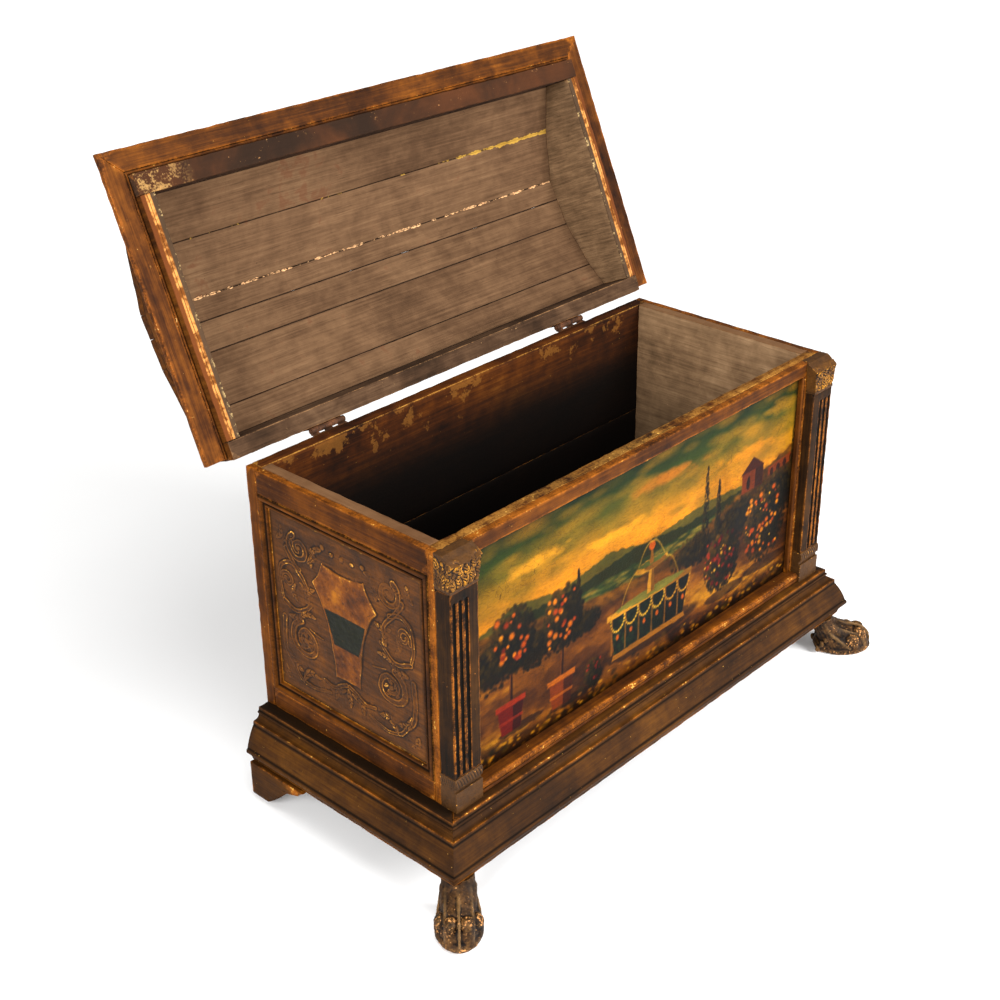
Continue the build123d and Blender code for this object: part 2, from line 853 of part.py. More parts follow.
def lid_moulding_profile(board_lean):
    """Section out from the lid's board: bead, flat band, edge and cove."""
    bead = lid_moulding_bead
    out = lid_moulding_width
    edge = lid_moulding_edge
    high = lid_moulding_height
    cap = lid_moulding_cap_projection
    cap_bottom = high - lid_moulding_cap_height
    start = lid_moulding_quirk
    end = start + 2 * bead
    return outline(
        (-bead * board_lean, bead),
        (start, bead),
        ((start + bead, 0), (end, bead)),
        (end, 0),
        (out, 0),
        (out, edge),
        (out - lid_moulding_fillet, edge + 1),
        ((lid_moulding_cove_middle, 2 * edge), (cap, cap_bottom)),
        (cap, high),
        (-high * board_lean, high),
    )


def lid_mouldings():
    base = lid_bottom + lid_moulding_rise
    corner_x = lid_outer_x - lid_moulding_rise * lean
    far = lid_moulding_width + past
    near = lid_moulding_height * lean + past
    end_profile = mirror_profile(lid_moulding_profile(lean))
    side = along_y(Pos(-corner_x, base) * end_profile, lid_front - far, body_depth)
    behind_mitre = outline(
        (-corner_x - far, lid_front - far),
        (-corner_x, lid_front),
        (-corner_x + near, lid_front),
        (-corner_x + near, body_depth),
        (-corner_x - far, body_depth),
    )
    top = base + lid_moulding_height
    add_pair("lid_end_moulding", side & along_z(behind_mitre, base, top))
    front_profile = mirror_profile(lid_moulding_profile(0))
    front = along_x(Pos(lid_front, base) * front_profile, -corner_x - far, corner_x + far)
    before_mitre = outline(
        (-corner_x - far, lid_front - far),
        (corner_x + far, lid_front - far),
        (corner_x, lid_front),
        (-corner_x, lid_front),
    )
    add("lid_front_moulding", front & along_z(before_mitre, base, top))


def lid_hinge_leaves():
    own = range(hinge_knuckle_count)[1::2]
    arm = (lid_rear, lid_rear + hinge_leaf_thickness, pin_z, lid_leaf_bottom)
    holes = lid_screws(screw_clearance)
    for side, centre in zip(("left", "right"), hinge_centres):
        leaf = hinge_leaf(centre, lid_rear, lid_leaf_bottom, lid_leaf_top, own, arm, holes)
        add(side + "_hinge_lid_leaf", leaf)
    add("hinge_lid_screws", Compound(lid_screws(0)))


def lid_rear_board(cutter):
    board = lid_board(0, cutter)
    for hole in lid_screws(screw_clearance):
        board -= hole
    return board


def lid():
    hull = between_lid_ends(0)
    hollow = between_lid_ends(lid_end_board_thickness)
    add("lid_rear_board", lid_rear_board(hull))
    last = len(inner_line) - 2
    for number in range(1, last):
        add("lid_stave_%d" % (last - number), lid_board(number, hull))
    add("lid_front_board", lid_board(last, hull))
    add_pair("lid_end_board", lid_end_board(hull, hollow))
    lid_mouldings()
    lid_hinge_leaves()


def opened(shape):
    """Turns a piece of the closed lid back about the hinge pins."""
    to_pin = Pos(0, pin_y, pin_z)
    return to_pin * Rot(-lid_opening_angle, 0, 0) * to_pin.inverse() * shape


# ------------------------------------------------------------------ assembly

carcass()
end_frames()
painted_front()
plinth()
feet()
chest_hinges()
chest_names = list(parts)
lid()
lid_names = [name for name in parts if name not in chest_names]
for name in lid_names:
    parts[name] = opened(parts[name])

# The origin is on the floor, under the middle of the open chest's bounding box.
box = Compound(list(parts.values())).bounding_box()
origin = Pos(0, -(box.min.Y + box.max.Y) / 2, 0)
for name in parts:
    export_step(origin * parts[name], "parts/" + name + ".step")
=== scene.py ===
import json
import math
import bmesh
import bpy
import numpy as np
from mathutils import Matrix, Vector, noise


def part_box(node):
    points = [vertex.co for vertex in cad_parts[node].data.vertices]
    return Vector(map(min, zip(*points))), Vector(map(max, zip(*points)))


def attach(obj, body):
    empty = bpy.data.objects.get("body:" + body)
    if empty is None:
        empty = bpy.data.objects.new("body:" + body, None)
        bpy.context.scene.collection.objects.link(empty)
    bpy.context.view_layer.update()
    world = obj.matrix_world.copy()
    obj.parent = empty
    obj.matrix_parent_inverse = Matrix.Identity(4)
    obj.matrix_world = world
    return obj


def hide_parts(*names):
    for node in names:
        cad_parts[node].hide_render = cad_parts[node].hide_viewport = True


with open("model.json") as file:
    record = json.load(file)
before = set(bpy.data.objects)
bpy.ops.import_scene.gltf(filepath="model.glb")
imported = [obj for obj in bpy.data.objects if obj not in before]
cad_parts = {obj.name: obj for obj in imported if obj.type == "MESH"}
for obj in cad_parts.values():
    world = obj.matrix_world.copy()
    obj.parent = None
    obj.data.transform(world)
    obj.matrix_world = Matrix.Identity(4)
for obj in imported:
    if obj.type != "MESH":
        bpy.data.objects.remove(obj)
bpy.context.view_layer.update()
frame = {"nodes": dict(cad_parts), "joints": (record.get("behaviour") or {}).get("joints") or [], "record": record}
nodes = frame["nodes"]

# ---------------------------------------------------------------- the frame

mm = 0.001
in_mm = 1000.0
lid_joint = frame["joints"][0]
pin = Vector(lid_joint["pos_m"])
opening = math.radians(lid_joint["range_deg"][1])
# Turns the open lid shut, so that its boards lie square to the axes
shut = Matrix.Translation(pin) @ Matrix.Rotation(opening, 4, "X") @ Matrix.Translation(-pin)
lid_nodes = set(frame["record"]["behaviour"]["bodies"]["lid"])


def body_of(node):
    return "lid" if node in lid_nodes else "chest"


# ---------------------------------------------------------------- shader maths

amber_varnish = (1.0, 1.06, 0.5)


class Value:
    """One socket of a material, so that masks are written as sums and products."""

    def __init__(self, finish, socket):
        self.finish, self.socket = finish, socket

    def __add__(self, other):
        return self.finish.sum("ADD", self, other)

    def __sub__(self, other):
        return self.finish.sum("SUBTRACT", self, other)

    def __rsub__(self, other):
        return self.finish.sum("SUBTRACT", other, self)

    def __mul__(self, other):
        return self.finish.sum("MULTIPLY", self, other)

    def __truediv__(self, other):
        return self.finish.sum("DIVIDE", self, other)

    def __pow__(self, other):
        return self.finish.sum("POWER", self, other)

    __radd__ = __add__
    __rmul__ = __mul__

    def clamped(self):
        return self.finish.sum("ADD", self, 0.0, clamp=True)

    def size(self):
        return self.finish.sum("ABSOLUTE", self)


class Finish:
    """A material, and the few kinds of node that it is made from."""

    def __init__(self, name, turned=False):
        self.material = bpy.data.materials.new(name)
        self.material.use_nodes = True
        self.tree = self.material.node_tree
        self.tree.nodes.clear()
        self.shader = self.tree.nodes.new("ShaderNodeBsdfPrincipled")
        output = self.tree.nodes.new("ShaderNodeOutputMaterial")
        self.tree.links.new(self.shader.outputs[0], output.inputs[0])
        self.place = self.node("ShaderNodeTexCoord", output=3)
        if turned:
            moved = shut @ Vector((0, 0, 0))
            values = {"Vector": self.place, "Rotation": (opening, 0, 0), "Location": moved}
            self.place = self.node("ShaderNodeMapping", {}, values)

    def node(self, kind, settings=None, values=None, output=0):
        made = self.tree.nodes.new(kind)
        for key, value in (settings or {}).items():
            if key == "stops":
                self.fill_ramp(made.color_ramp, value)
            else:
                setattr(made, key, value)
        for key, value in (values or {}).items():
            socket = made.inputs[key]
            if isinstance(value, Value):
                self.tree.links.new(value.socket, socket)
            else:
                socket.default_value = value
        return Value(self, made.outputs[output])

    def fill_ramp(self, ramp, stops):
        while len(ramp.elements) < len(stops):
            ramp.elements.new(0.5)
        for element, (position, colour) in zip(ramp.elements, stops):
            element.position = position
            element.color = (*colour, 1)

    def sum(self, operation, first, second=None, clamp=False):
        values = {0: first}
        if second is not None:
            values[1] = second
        return self.node("ShaderNodeMath", {"operation": operation, "use_clamp": clamp}, values)

    def read(self, attribute):
        return self.node("ShaderNodeAttribute", {"attribute_name": attribute}, output=2)

    def read_mm(self, attribute):
        return self.read(attribute) * in_mm

    def painted(self, attribute):
        return self.node("ShaderNodeAttribute", {"attribute_name": attribute}, output=0)

    def along(self, axis):
        return self.node("ShaderNodeSeparateXYZ", {}, {"Vector": self.place}, output="XYZ".index(axis))

    def along_mm(self, axis):
        return self.along(axis) * in_mm

    def stretched(self, scale, shift=None):
        """The piece's own coordinates, stretched, and moved by a value of the piece."""
        scaled = self.node("ShaderNodeVectorMath", {"operation": "MULTIPLY"}, {0: self.place, 1: scale})
        if shift is None:
            return scaled
        step = self.node("ShaderNodeCombineXYZ", {}, {"X": shift, "Y": shift, "Z": shift})
        return self.node("ShaderNodeVectorMath", {"operation": "ADD"}, {0: scaled, 1: step})

    def cloud(self, scale, detail=4.0, rough=0.55, bend=0.0, where=None):
        values = {
            "Vector": where or self.place,
            "Scale": scale,
            "Detail": detail,
            "Roughness": rough,
            "Distortion": bend,
        }
        return self.node("ShaderNodeTexNoise", {}, values)

    def cells(self, scale, where=None, feature="F1"):
        values = {"Vector": where or self.place, "Scale": scale}
        return self.node("ShaderNodeTexVoronoi", {"feature": feature}, values)

    def between(self, value, low, high):
        """0 below low, 1 above high, smooth in between."""
        values = {"Value": value, "From Min": low, "From Max": high}
        return self.node("ShaderNodeMapRange", {"interpolation_type": "SMOOTHSTEP"}, values)

    def tones(self, value, stops):
        return self.node("ShaderNodeValToRGB", {"stops": stops}, {"Fac": value})

    def mix(self, share, first, second, blend="MIX"):
        def colour(c):
            return c if isinstance(c, Value) else (*c, 1)

        settings = {"data_type": "RGBA", "blend_type": blend}
        return self.node("ShaderNodeMix", settings, {0: share, 6: colour(first), 7: colour(second)}, output=2)

    def bump(self, height, depth, strength=1.0):
        values = {"Height": height, "Distance": depth, "Strength": strength}
        return self.node("ShaderNodeBump", {}, values)

    def close(self, colour, roughness, normal, specular=0.08, metallic=None, deepen=1.5, gain=1.6,
              amber=amber_varnish):
        """Ends the material; deepen above 1 makes its colours darker and richer, as varnish does.

        amber is the varnish's own colour, and gain how much light comes back through it."""
        varnish = tuple(gain * a for a in amber)
        rich = self.node("ShaderNodeVectorMath", {"operation": "POWER"}, {0: colour, 1: (deepen,) * 3})
        rich = self.node("ShaderNodeVectorMath", {"operation": "MULTIPLY"}, {0: rich, 1: varnish})
        self.tree.links.new(rich.socket, self.shader.inputs["Base Color"])
        self.tree.links.new(roughness.socket, self.shader.inputs["Roughness"])
        self.tree.links.new(normal.socket, self.shader.inputs["Normal"])
        self.shader.inputs["Specular IOR Level"].default_value = specular
        if metallic is not None:
            self.tree.links.new(metallic.socket, self.shader.inputs["Metallic"])
        return self.material


# ---------------------------------------------------------------- finishes of old wood

pale_chip = (0.62, 0.40, 0.22)
grey_chip = (0.34, 0.24, 0.15)
# Near-black for the painted shade and soiling in hollows.
shade_and_soot = (0.012, 0.007, 0.004)


def old_wood(name, tones, rubbed, grain="X", turned=False, rub=6.0, chips=2.2, gloss=0.5, dirt=5.0,
             chip_colour=pale_chip, chip_share=0.55, grain_depth=0.45, dust=0.0, dust_colour=grey_chip,
             extra=None, contrast=1.5, rub_share=0.6, dirtiness=0.85, deepen=1.5, gain=1.6,
             cloudy=0.42, amber=amber_varnish):
    """Stained wood whose grain runs one way, rubbed and chipped along its arrises.

    rub, chips and the reach of the painted shade and soiling in the hollows are how far each reaches from an edge,
    in millimetres."""
    finish = Finish(name, turned)
    piece = finish.read("piece")
    shift = piece * 7.0
    long, across = 4.0, 95.0
    scale = tuple(long if axis == grain else across for axis in "XYZ")
    fine = tuple(5 * long if axis == grain else 7 * across for axis in "XYZ")
    fibre = tuple(2 * long if axis == grain else 3 * across for axis in "XYZ")
    grain_noise = finish.cloud(1.0, 5, 0.6, 0.6, finish.stretched(scale, shift))
    pores = finish.cloud(1.0, 4, 0.7, 0.0, finish.stretched(fine, shift))
    fibres = finish.cloud(1.0, 5, 0.72, 0.2, finish.stretched(fibre, shift))
    mottle = finish.cloud(6.0, 5, 0.6, 0.3, finish.stretched((1, 1, 1), shift))
    blotch = finish.cloud(42.0, 4, 0.6, 0.3)
    specks = finish.cloud(330.0, 3, 0.65, 0.0)
    tone = grain_noise * 0.16 + fibres * (0.66 - cloudy) + mottle * cloudy
    tone = tone + blotch * 0.18 + (piece - 0.5) * 0.08
    tone = ((tone - 0.5) * contrast + 0.5).clamped()
    colour = finish.tones(tone, tones)
    streak = finish.between(pores, 0.56, 0.72) * 0.5
    colour = finish.mix(streak, colour, tones[0][1])
    arris, hollow = finish.read_mm("arris"), finish.read_mm("hollow")
    if dust:
        dusty = finish.between(mottle * 0.6 + blotch * 0.4, 0.46, 0.62) * dust
        colour = finish.mix(dusty, colour, dust_colour)
    reach = (mottle * 0.6 + blotch * 0.6 + 0.05) * rub
    where = finish.between(blotch * 0.5 + grain_noise * 0.5 + specks * 0.3, 0.5, 0.85)
    rubbing = (1.0 - finish.between(arris, 0.0, reach)) * where
    colour = finish.mix((rubbing * rub_share).clamped(), colour, rubbed)
    # Painted shade, with some soiling, darkens the wood by its hollow edges.
    grime_and_shade = 1.0 - finish.between(hollow, 0.0, (mottle + 0.2) * dirt)
    colour = finish.mix((grime_and_shade * dirtiness).clamped(), colour, shade_and_soot)
    chip_field = blotch * 0.42 + finish.cloud(190.0, 3, 0.6) * 0.38 + specks * 0.20
    chip_reach = finish.between(chip_field, chip_share, chip_share + 0.1) * chips
    chipped = finish.between(chip_reach - arris, 0.0, 0.35)
    colour = finish.mix(chipped, colour, finish.mix(specks, grey_chip, chip_colour))
    loose = finish.between(specks * 0.55 + finish.cloud(110.0, 2, 0.5) * 0.45, 0.665, 0.70)
    colour = finish.mix(loose * 0.6, colour, chip_colour)
    where = finish.between(blotch * 0.5 + specks * 0.5, 0.44, 0.58)
    colour = finish.mix((1.0 - finish.between(arris, 0.2, 1.9)) * where * 0.45, colour, rubbed)
    if extra:
        maps = {"mottle": mottle, "blotch": blotch, "specks": specks, "grain": grain_noise, "arris": arris}
        colour = extra(finish, colour, maps)
    height = fibres * 0.7 + pores * 0.35 + blotch * 0.4 - chipped * 0.8 - loose * 0.5
    normal = finish.bump(height, grain_depth * mm)
    rough = (0.86 - gloss * 0.45 + pores * 0.12 + (chipped + grime_and_shade) * 0.2).clamped()
    return finish.close(colour, rough, normal, deepen=deepen, gain=gain, amber=amber)


def shades(*colours):
    """Four tones of a wood, from its darkest to its palest."""
    return list(zip((0.30, 0.46, 0.57, 0.73), colours))


brown_tones = shades((0.03, 0.012, 0.003), (0.082, 0.032, 0.006), (0.13, 0.052, 0.008), (0.2, 0.085, 0.015))
dark_tones = shades((0.0112, 0.0064, 0.0032), (0.0336, 0.016, 0.0056),
                    (0.0592, 0.0288, 0.0096), (0.104, 0.0512, 0.0176))
lid_tones = shades((0.0299, 0.0114, 0.0026), (0.0924, 0.037, 0.0088),
                   (0.1584, 0.0669, 0.0158), (0.2376, 0.11, 0.0299))
inner_tones = shades((0.05, 0.028, 0.016), (0.125, 0.074, 0.044), (0.19, 0.117, 0.071), (0.3, 0.2, 0.125))
cave_tones = shades((0.0208, 0.008, 0.0024), (0.0688, 0.0248, 0.0064),
                    (0.116, 0.0448, 0.0112), (0.2, 0.092, 0.0336))
orange_rub = (0.36, 0.15, 0.040)
tan_rub = (0.42, 0.25, 0.13)
seam_dark = (0.030, 0.016, 0.009)
rear_lid_tones = shades((0.034, 0.020, 0.012), (0.088, 0.052, 0.032),
                        (0.135, 0.083, 0.052), (0.23, 0.15, 0.095))
bare = {"deepen": 1.3, "gain": 0.95, "amber": (1.0, 1.0, 0.92)}
plinth_tones = shades((0.0258, 0.012, 0.0037), (0.0607, 0.0276, 0.0074),
                      (0.0938, 0.0432, 0.011), (0.1518, 0.0736, 0.0202))
# Slightly darker tones than lid_tones for the lid's front moulding, as painted shade.
shaded_front_lid_tones = shades((0.03, 0.012, 0.005), (0.078, 0.032, 0.011),
                         (0.135, 0.056, 0.017), (0.24, 0.105, 0.03))
grey_tones = shades((0.03, 0.018, 0.012), (0.07, 0.04, 0.026), (0.13, 0.068, 0.042), (0.24, 0.12, 0.065))
inside_end_tones = shades((0.1, 0.064, 0.038), (0.22, 0.142, 0.088), (0.31, 0.205, 0.128), (0.45, 0.31, 0.2))

finishes = {}


def wood(name, tones, rubbed, grain, turned=False, **more):
    """One finish for each direction that the grain runs in, made when it is first needed."""
    key = f"{name}_{grain.lower()}" + ("_lid" if turned else "")
    if key not in finishes:
        finishes[key] = old_wood(key, tones, rubbed, grain, turned, **more)
    return finishes[key]


def iron():
    finish = Finish("old_iron")
    rust = finish.cloud(55.0, 5, 0.65, 0.4)
    pits = finish.cloud(420.0, 3, 0.6)
    colour = finish.tones(rust * 0.75 + pits * 0.25, [
        (0.3, (0.035, 0.018, 0.010)), (0.46, (0.085, 0.040, 0.019)),
        (0.58, (0.16, 0.068, 0.026)), (0.8, (0.28, 0.12, 0.045))])
    metal = (1.0 - finish.between(rust, 0.45, 0.6)) * 0.4
    rough = (0.5 + rust * 0.5).clamped()
    return finish.close(colour, rough, finish.bump(pits + rust, 0.2 * mm), 0.25, metal, **bare)


# ---------------------------------------------------------------- worn pieces from the joiner's pieces

same_place = 0.02 * mm
nearly_flat = math.radians(0.6)
sharp_turn = math.radians(28)


def is_turned(node):
    return node in lid_nodes


def piece_value(node):
    """A number from 0 to 1 that makes each board a little different."""
    return noise.noise(Vector((sum(ord(c) for c in node) * 0.371, len(node) * 0.73, 0.5))) * 0.5 + 0.5


def measure(points, lines):
    """Distance from each point to the nearest of some straight lines."""
    nearest = np.full(len(points), 1.0)
    for a, b in lines:
        run = b - a
        share = np.clip((points - a) @ run / (run @ run), 0, 1)
        nearest = np.minimum(nearest, np.linalg.norm(points - a - share[:, None] * run, axis=1))
    return nearest


def edge_lines(bm, least, bend):
    """Ends of the long edges that stand out (bend 1) or lie in a hollow (bend -1)."""
    found = []
    for edge in bm.edges:
        if len(edge.link_faces) == 2 and edge.calc_length() > least:
            if edge.calc_face_angle_signed(0) * bend > sharp_turn:
                found.append(edge)
    return found


def as_lines(edges):
    return [(np.array(e.verts[0].co), np.array(e.verts[1].co)) for e in edges]


def points_of(mesh_or_bm):
    return np.array([v.co for v in mesh_or_bm.verts], float).reshape(-1, 3)


def put_value(mesh, name, values):
    attribute = mesh.attributes.get(name) or mesh.attributes.new(name, "FLOAT", "POINT")
    attribute.data.foreach_set("value", np.asarray(values, np.float32))


def make_piece(bm, name, node_names, material, values, sharp=38.0):
    """Turns a finished bmesh into a piece that rides on its body and stands for its nodes."""
    mesh = bpy.data.meshes.new(name)
    bm.to_mesh(mesh)
    bm.free()
    for face in mesh.polygons:
        face.use_smooth = True
    if sharp:
        mesh.set_sharp_from_angle(angle=math.radians(sharp))
    for key, numbers in values.items():
        put_value(mesh, key, numbers)
    piece = bpy.data.objects.new(name, mesh)
    bpy.context.scene.collection.objects.link(piece)
    mesh.materials.append(material)
    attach(piece, body_of(node_names[0]))
    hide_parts(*node_names)
    return piece


def bend_in(bm, step):
    """Cuts a piece across at even steps along each axis."""
    corners = points_of(bm)
    low, high = corners.min(0), corners.max(0)
    for axis in range(3):
        count = int(round((high[axis] - low[axis]) / step[axis]))
        normal = Vector([float(axis == k) for k in range(3)])
        for number in range(1, count):
            where = normal * (low[axis] + (high[axis] - low[axis]) * number / count)
            everything = bm.verts[:] + bm.edges[:] + bm.faces[:]
            bmesh.ops.bisect_plane(bm, geom=everything, plane_co=where, plane_no=normal, dist=1e-6)


def worn(node, material, step=12.0, rounding=1.1, chipping=0.9, least=10.0, more=None):
    """The joiner's piece with its arrises rounded, rubbed and a little chipped."""
    bm = bmesh.new()
    bm.from_mesh(nodes[node].data)
    if is_turned(node):
        bmesh.ops.transform(bm, matrix=shut, verts=bm.verts)
    bmesh.ops.remove_doubles(bm, verts=bm.verts, dist=same_place)
    bmesh.ops.dissolve_limit(bm, angle_limit=nearly_flat, verts=bm.verts, edges=bm.edges)
    standing = edge_lines(bm, least * mm, 1)
    arris_lines = as_lines(standing)
    hollow_lines = as_lines(edge_lines(bm, least * mm, -1))
    if rounding:
        bmesh.ops.bevel(bm, geom=standing, offset=rounding * mm, segments=2, profile=0.5,
                        affect="EDGES", material=-1, clamp_overlap=False)
    bend_in(bm, (step * mm,) * 3)
    bmesh.ops.triangulate(bm, faces=[f for f in bm.faces if len(f.verts) > 4])
    bm.normal_update()
    points = points_of(bm)
    arris = measure(points, arris_lines)
    hollow = measure(points, hollow_lines)
    for vert, near in zip(bm.verts, arris):
        if near < 1.3 * rounding * mm:
            rough = noise.fractal(vert.co * 90, 0.8, 2.1, 3) + 0.25
            vert.co -= vert.normal * max(0.0, rough) * chipping * mm
    if is_turned(node):
        bmesh.ops.transform(bm, matrix=shut.inverted(), verts=bm.verts)
    values = {"arris": arris, "hollow": hollow, "piece": np.full(len(points), piece_value(node))}
    values.update(more(bm, points) if more else {})
    return make_piece(bm, node + "_worn", [node], material, values)


# ---------------------------------------------------------------- carving

def smooth_line(points, per_span=7):
    """A line that runs smoothly through a few points."""
    p = np.array(points, float)
    p = np.vstack([2 * p[0] - p[1], p, 2 * p[-1] - p[-2]])
    line = []
    for k in range(1, len(p) - 2):
        for t in np.linspace(0, 1, per_span, endpoint=False):
            line.append(0.5 * (
                2 * p[k] + (p[k + 1] - p[k - 1]) * t
                + (2 * p[k - 1] - 5 * p[k] + 4 * p[k + 1] - p[k + 2]) * t * t
                + (3 * p[k] - p[k - 1] - 3 * p[k + 1] + p[k + 2]) * t ** 3
            ))
    line.append(p[-2])
    return np.array(line)


def scroll(cx, cy, radius, turns, start, hand=1, inner=0.16):
    """A spiral that winds inwards from its outer end; start is in degrees."""
    share = np.linspace(0, 1, int(24 * turns))
    reach = radius * (1 - (1 - inner) * share)
    turn = math.radians(start) + hand * turns * 2 * math.pi * share
    return np.column_stack([cx + reach * np.cos(turn), cy + reach * np.sin(turn)])


class Carving:
    """Heights in millimetres over the points of a face: u across, v up."""

    def __init__(self, u, v):
        self.u, self.v = u, v
        self.height = np.zeros(len(u))

    def add(self, rise):
        self.height = np.maximum(self.height, rise)

    def ridge(self, line, width, height, taper=0.0, round_power=0.8, gouged=False):
        """A raised line; a gouged one is hollow along its middle, with a rim either side."""
        line = np.asarray(line, float)
        nearest = np.full(len(self.u), 9.0)
        tall = np.zeros(len(self.u))
        last = len(line) - 1
        for k in range(last):
            a, b = line[k], line[k + 1]
            half = width * (1 - taper * k / last)
            low, high = np.minimum(a, b) - half, np.maximum(a, b) + half
            across = (self.u > low[0]) & (self.u < high[0])
            near = np.nonzero(across & (self.v > low[1]) & (self.v < high[1]))[0]
            if len(near) == 0:
                continue
            pu, pv = self.u[near] - a[0], self.v[near] - a[1]
            run = b - a
            share = np.clip((pu * run[0] + pv * run[1]) / (run @ run + 1e-9), 0, 1)
            gap = np.hypot(pu - share * run[0], pv - share * run[1]) / half
            better = gap < nearest[near]
            nearest[near[better]] = gap[better]
            tall[near[better]] = height * (1 - 0.5 * taper * k / last)
        if gouged:
            rim = np.exp(-((nearest - 0.70) / 0.20) ** 2)
            shape = 0.42 * np.clip((1 - nearest) / 0.25, 0, 1) + 0.58 * rim
        else:
            shape = np.clip(1 - nearest ** 2, 0, 1) ** round_power
        rise = tall * shape
        self.add(rise)
        return rise

    def cut(self, line, width, depth):
        """A groove cut into what stands there."""
        other = Carving(self.u, self.v)
        self.height = self.height - other.ridge(line, width, depth)

    def boss(self, cx, cy, rx, ry, height, angle=0.0):
        c, s = math.cos(math.radians(angle)), math.sin(math.radians(angle))
        du, dv = self.u - cx, self.v - cy
        gap = ((du * c + dv * s) / rx) ** 2 + ((dv * c - du * s) / ry) ** 2
        self.add(height * np.sqrt(np.clip(1 - gap, 0, 1)))

    def leaf(self, root, tip, width, height, bow=0.0, veins=3):
        """A pointed leaf with a rib, whose spine bows to one side."""
        root, tip = np.array(root, float), np.array(tip, float)
        run = tip - root
        side = np.array([-run[1], run[0]]) * bow
        spine = smooth_line([root, (root + tip) / 2 + side, tip], 9)
        last = len(spine) - 1
        widths = [width * math.sin(math.pi * min(1.0, 0.12 + 0.86 * k / last)) ** 0.8 for k in range(last)]
        for k in range(last):
            self.ridge(spine[k:k + 2], max(0.5, widths[k]), height * (1 - 0.3 * k / last), 0, 0.5)
        for number in range(1, veins + 1):
            share = number / (veins + 1)
            at = spine[int(share * last)]
            ahead = spine[min(last, int(share * last) + 2)] - at
            ahead = ahead / (np.hypot(*ahead) + 1e-9)
            across = np.array([-ahead[1], ahead[0]])
            for hand in (-1, 1):
                self.cut([at, at + (ahead * 0.8 + across * hand) * width * 0.8], width * 0.16, height * 0.5)
        self.cut(spine[:-1], width * 0.12, height * 0.3)


def wander(points, size, scale, seed=0.0):
    """Smooth random heights over a piece, in the unit of size."""
    start = Vector((seed, seed, seed))
    return np.array([noise.fractal(Vector(p) * scale + start, 0.7, 2.0, 3) for p in points]) * size


def mark_carving(piece, rounds=(3, 14), unit=0.35):
    """Writes how far each point stands out from what is round it, or lies back."""
    mesh = piece.data
    count = len(mesh.vertices)
    points = np.zeros(count * 3)
    normals = np.zeros(count * 3)
    mesh.vertices.foreach_get("co", points)
    mesh.vertices.foreach_get("normal", normals)
    points, normals = points.reshape(-1, 3), normals.reshape(-1, 3)
    ends = np.zeros(len(mesh.edges) * 2, int)
    mesh.edges.foreach_get("vertices", ends)
    a, b = ends[0::2], ends[1::2]
    degree = np.maximum(1, np.bincount(ends, minlength=count))
    even = points.copy()
    proud = np.zeros(count)
    for number in range(1, max(rounds) + 1):
        for axis in range(3):
            total = np.bincount(a, even[b, axis], count) + np.bincount(b, even[a, axis], count)
            even[:, axis] = total / degree
        if number in rounds:
            proud += ((points - even) * normals).sum(1) * 1000 / unit / len(rounds)
    put_value(mesh, "proud", np.clip(proud, -1.5, 1.5))


def open_grid(across, up, step, thickness):
    """A board whose face is a fine grid at z = 0, with its sides and back closed."""
    bm = bmesh.new()
    bmesh.ops.create_grid(bm, x_segments=int(across / step), y_segments=int(up / step), size=0.5)
    bmesh.ops.scale(bm, vec=(across, up, 1), verts=bm.verts)
    bmesh.ops.translate(bm, vec=(across / 2, up / 2, 0), verts=bm.verts)
    rim = [e for e in bm.edges if len(e.link_faces) == 1]
    made = bmesh.ops.extrude_edge_only(bm, edges=rim)["geom"]
    back = [g for g in made if isinstance(g, bmesh.types.BMVert)]
    bmesh.ops.translate(bm, vec=(0, 0, -thickness), verts=back)
    bmesh.ops.holes_fill(bm, edges=[e for e in bm.edges if len(e.link_faces) == 1], sides=0)
    bmesh.ops.recalc_face_normals(bm, faces=bm.faces)
    return bm


def face_points(bm):
    """The grid's points in millimetres, and which of them are on the face."""
    points = points_of(bm)
    return points[:, 0] / mm, points[:, 1] / mm, points[:, 2] > -1e-6


def raise_face(bm, heights, face):
    for vert, height, front in zip(bm.verts, heights, face):
        if front:
            vert.co.z += height * mm


def crop_in(share, low, high):
    return np.clip((share - low) / (high - low), 0, 1)


# ------------------------------------------------ the carved ends

shield_middle = 148.0
shield_halves = [(242, 42), (232, 45), (218, 53), (203, 64.5), (190, 54), (171, 44.5), (150, 36.5),
                 (121, 29.5), (90, 26), (65, 24.5)]
band_top, band_bottom = 171.0, 118.0


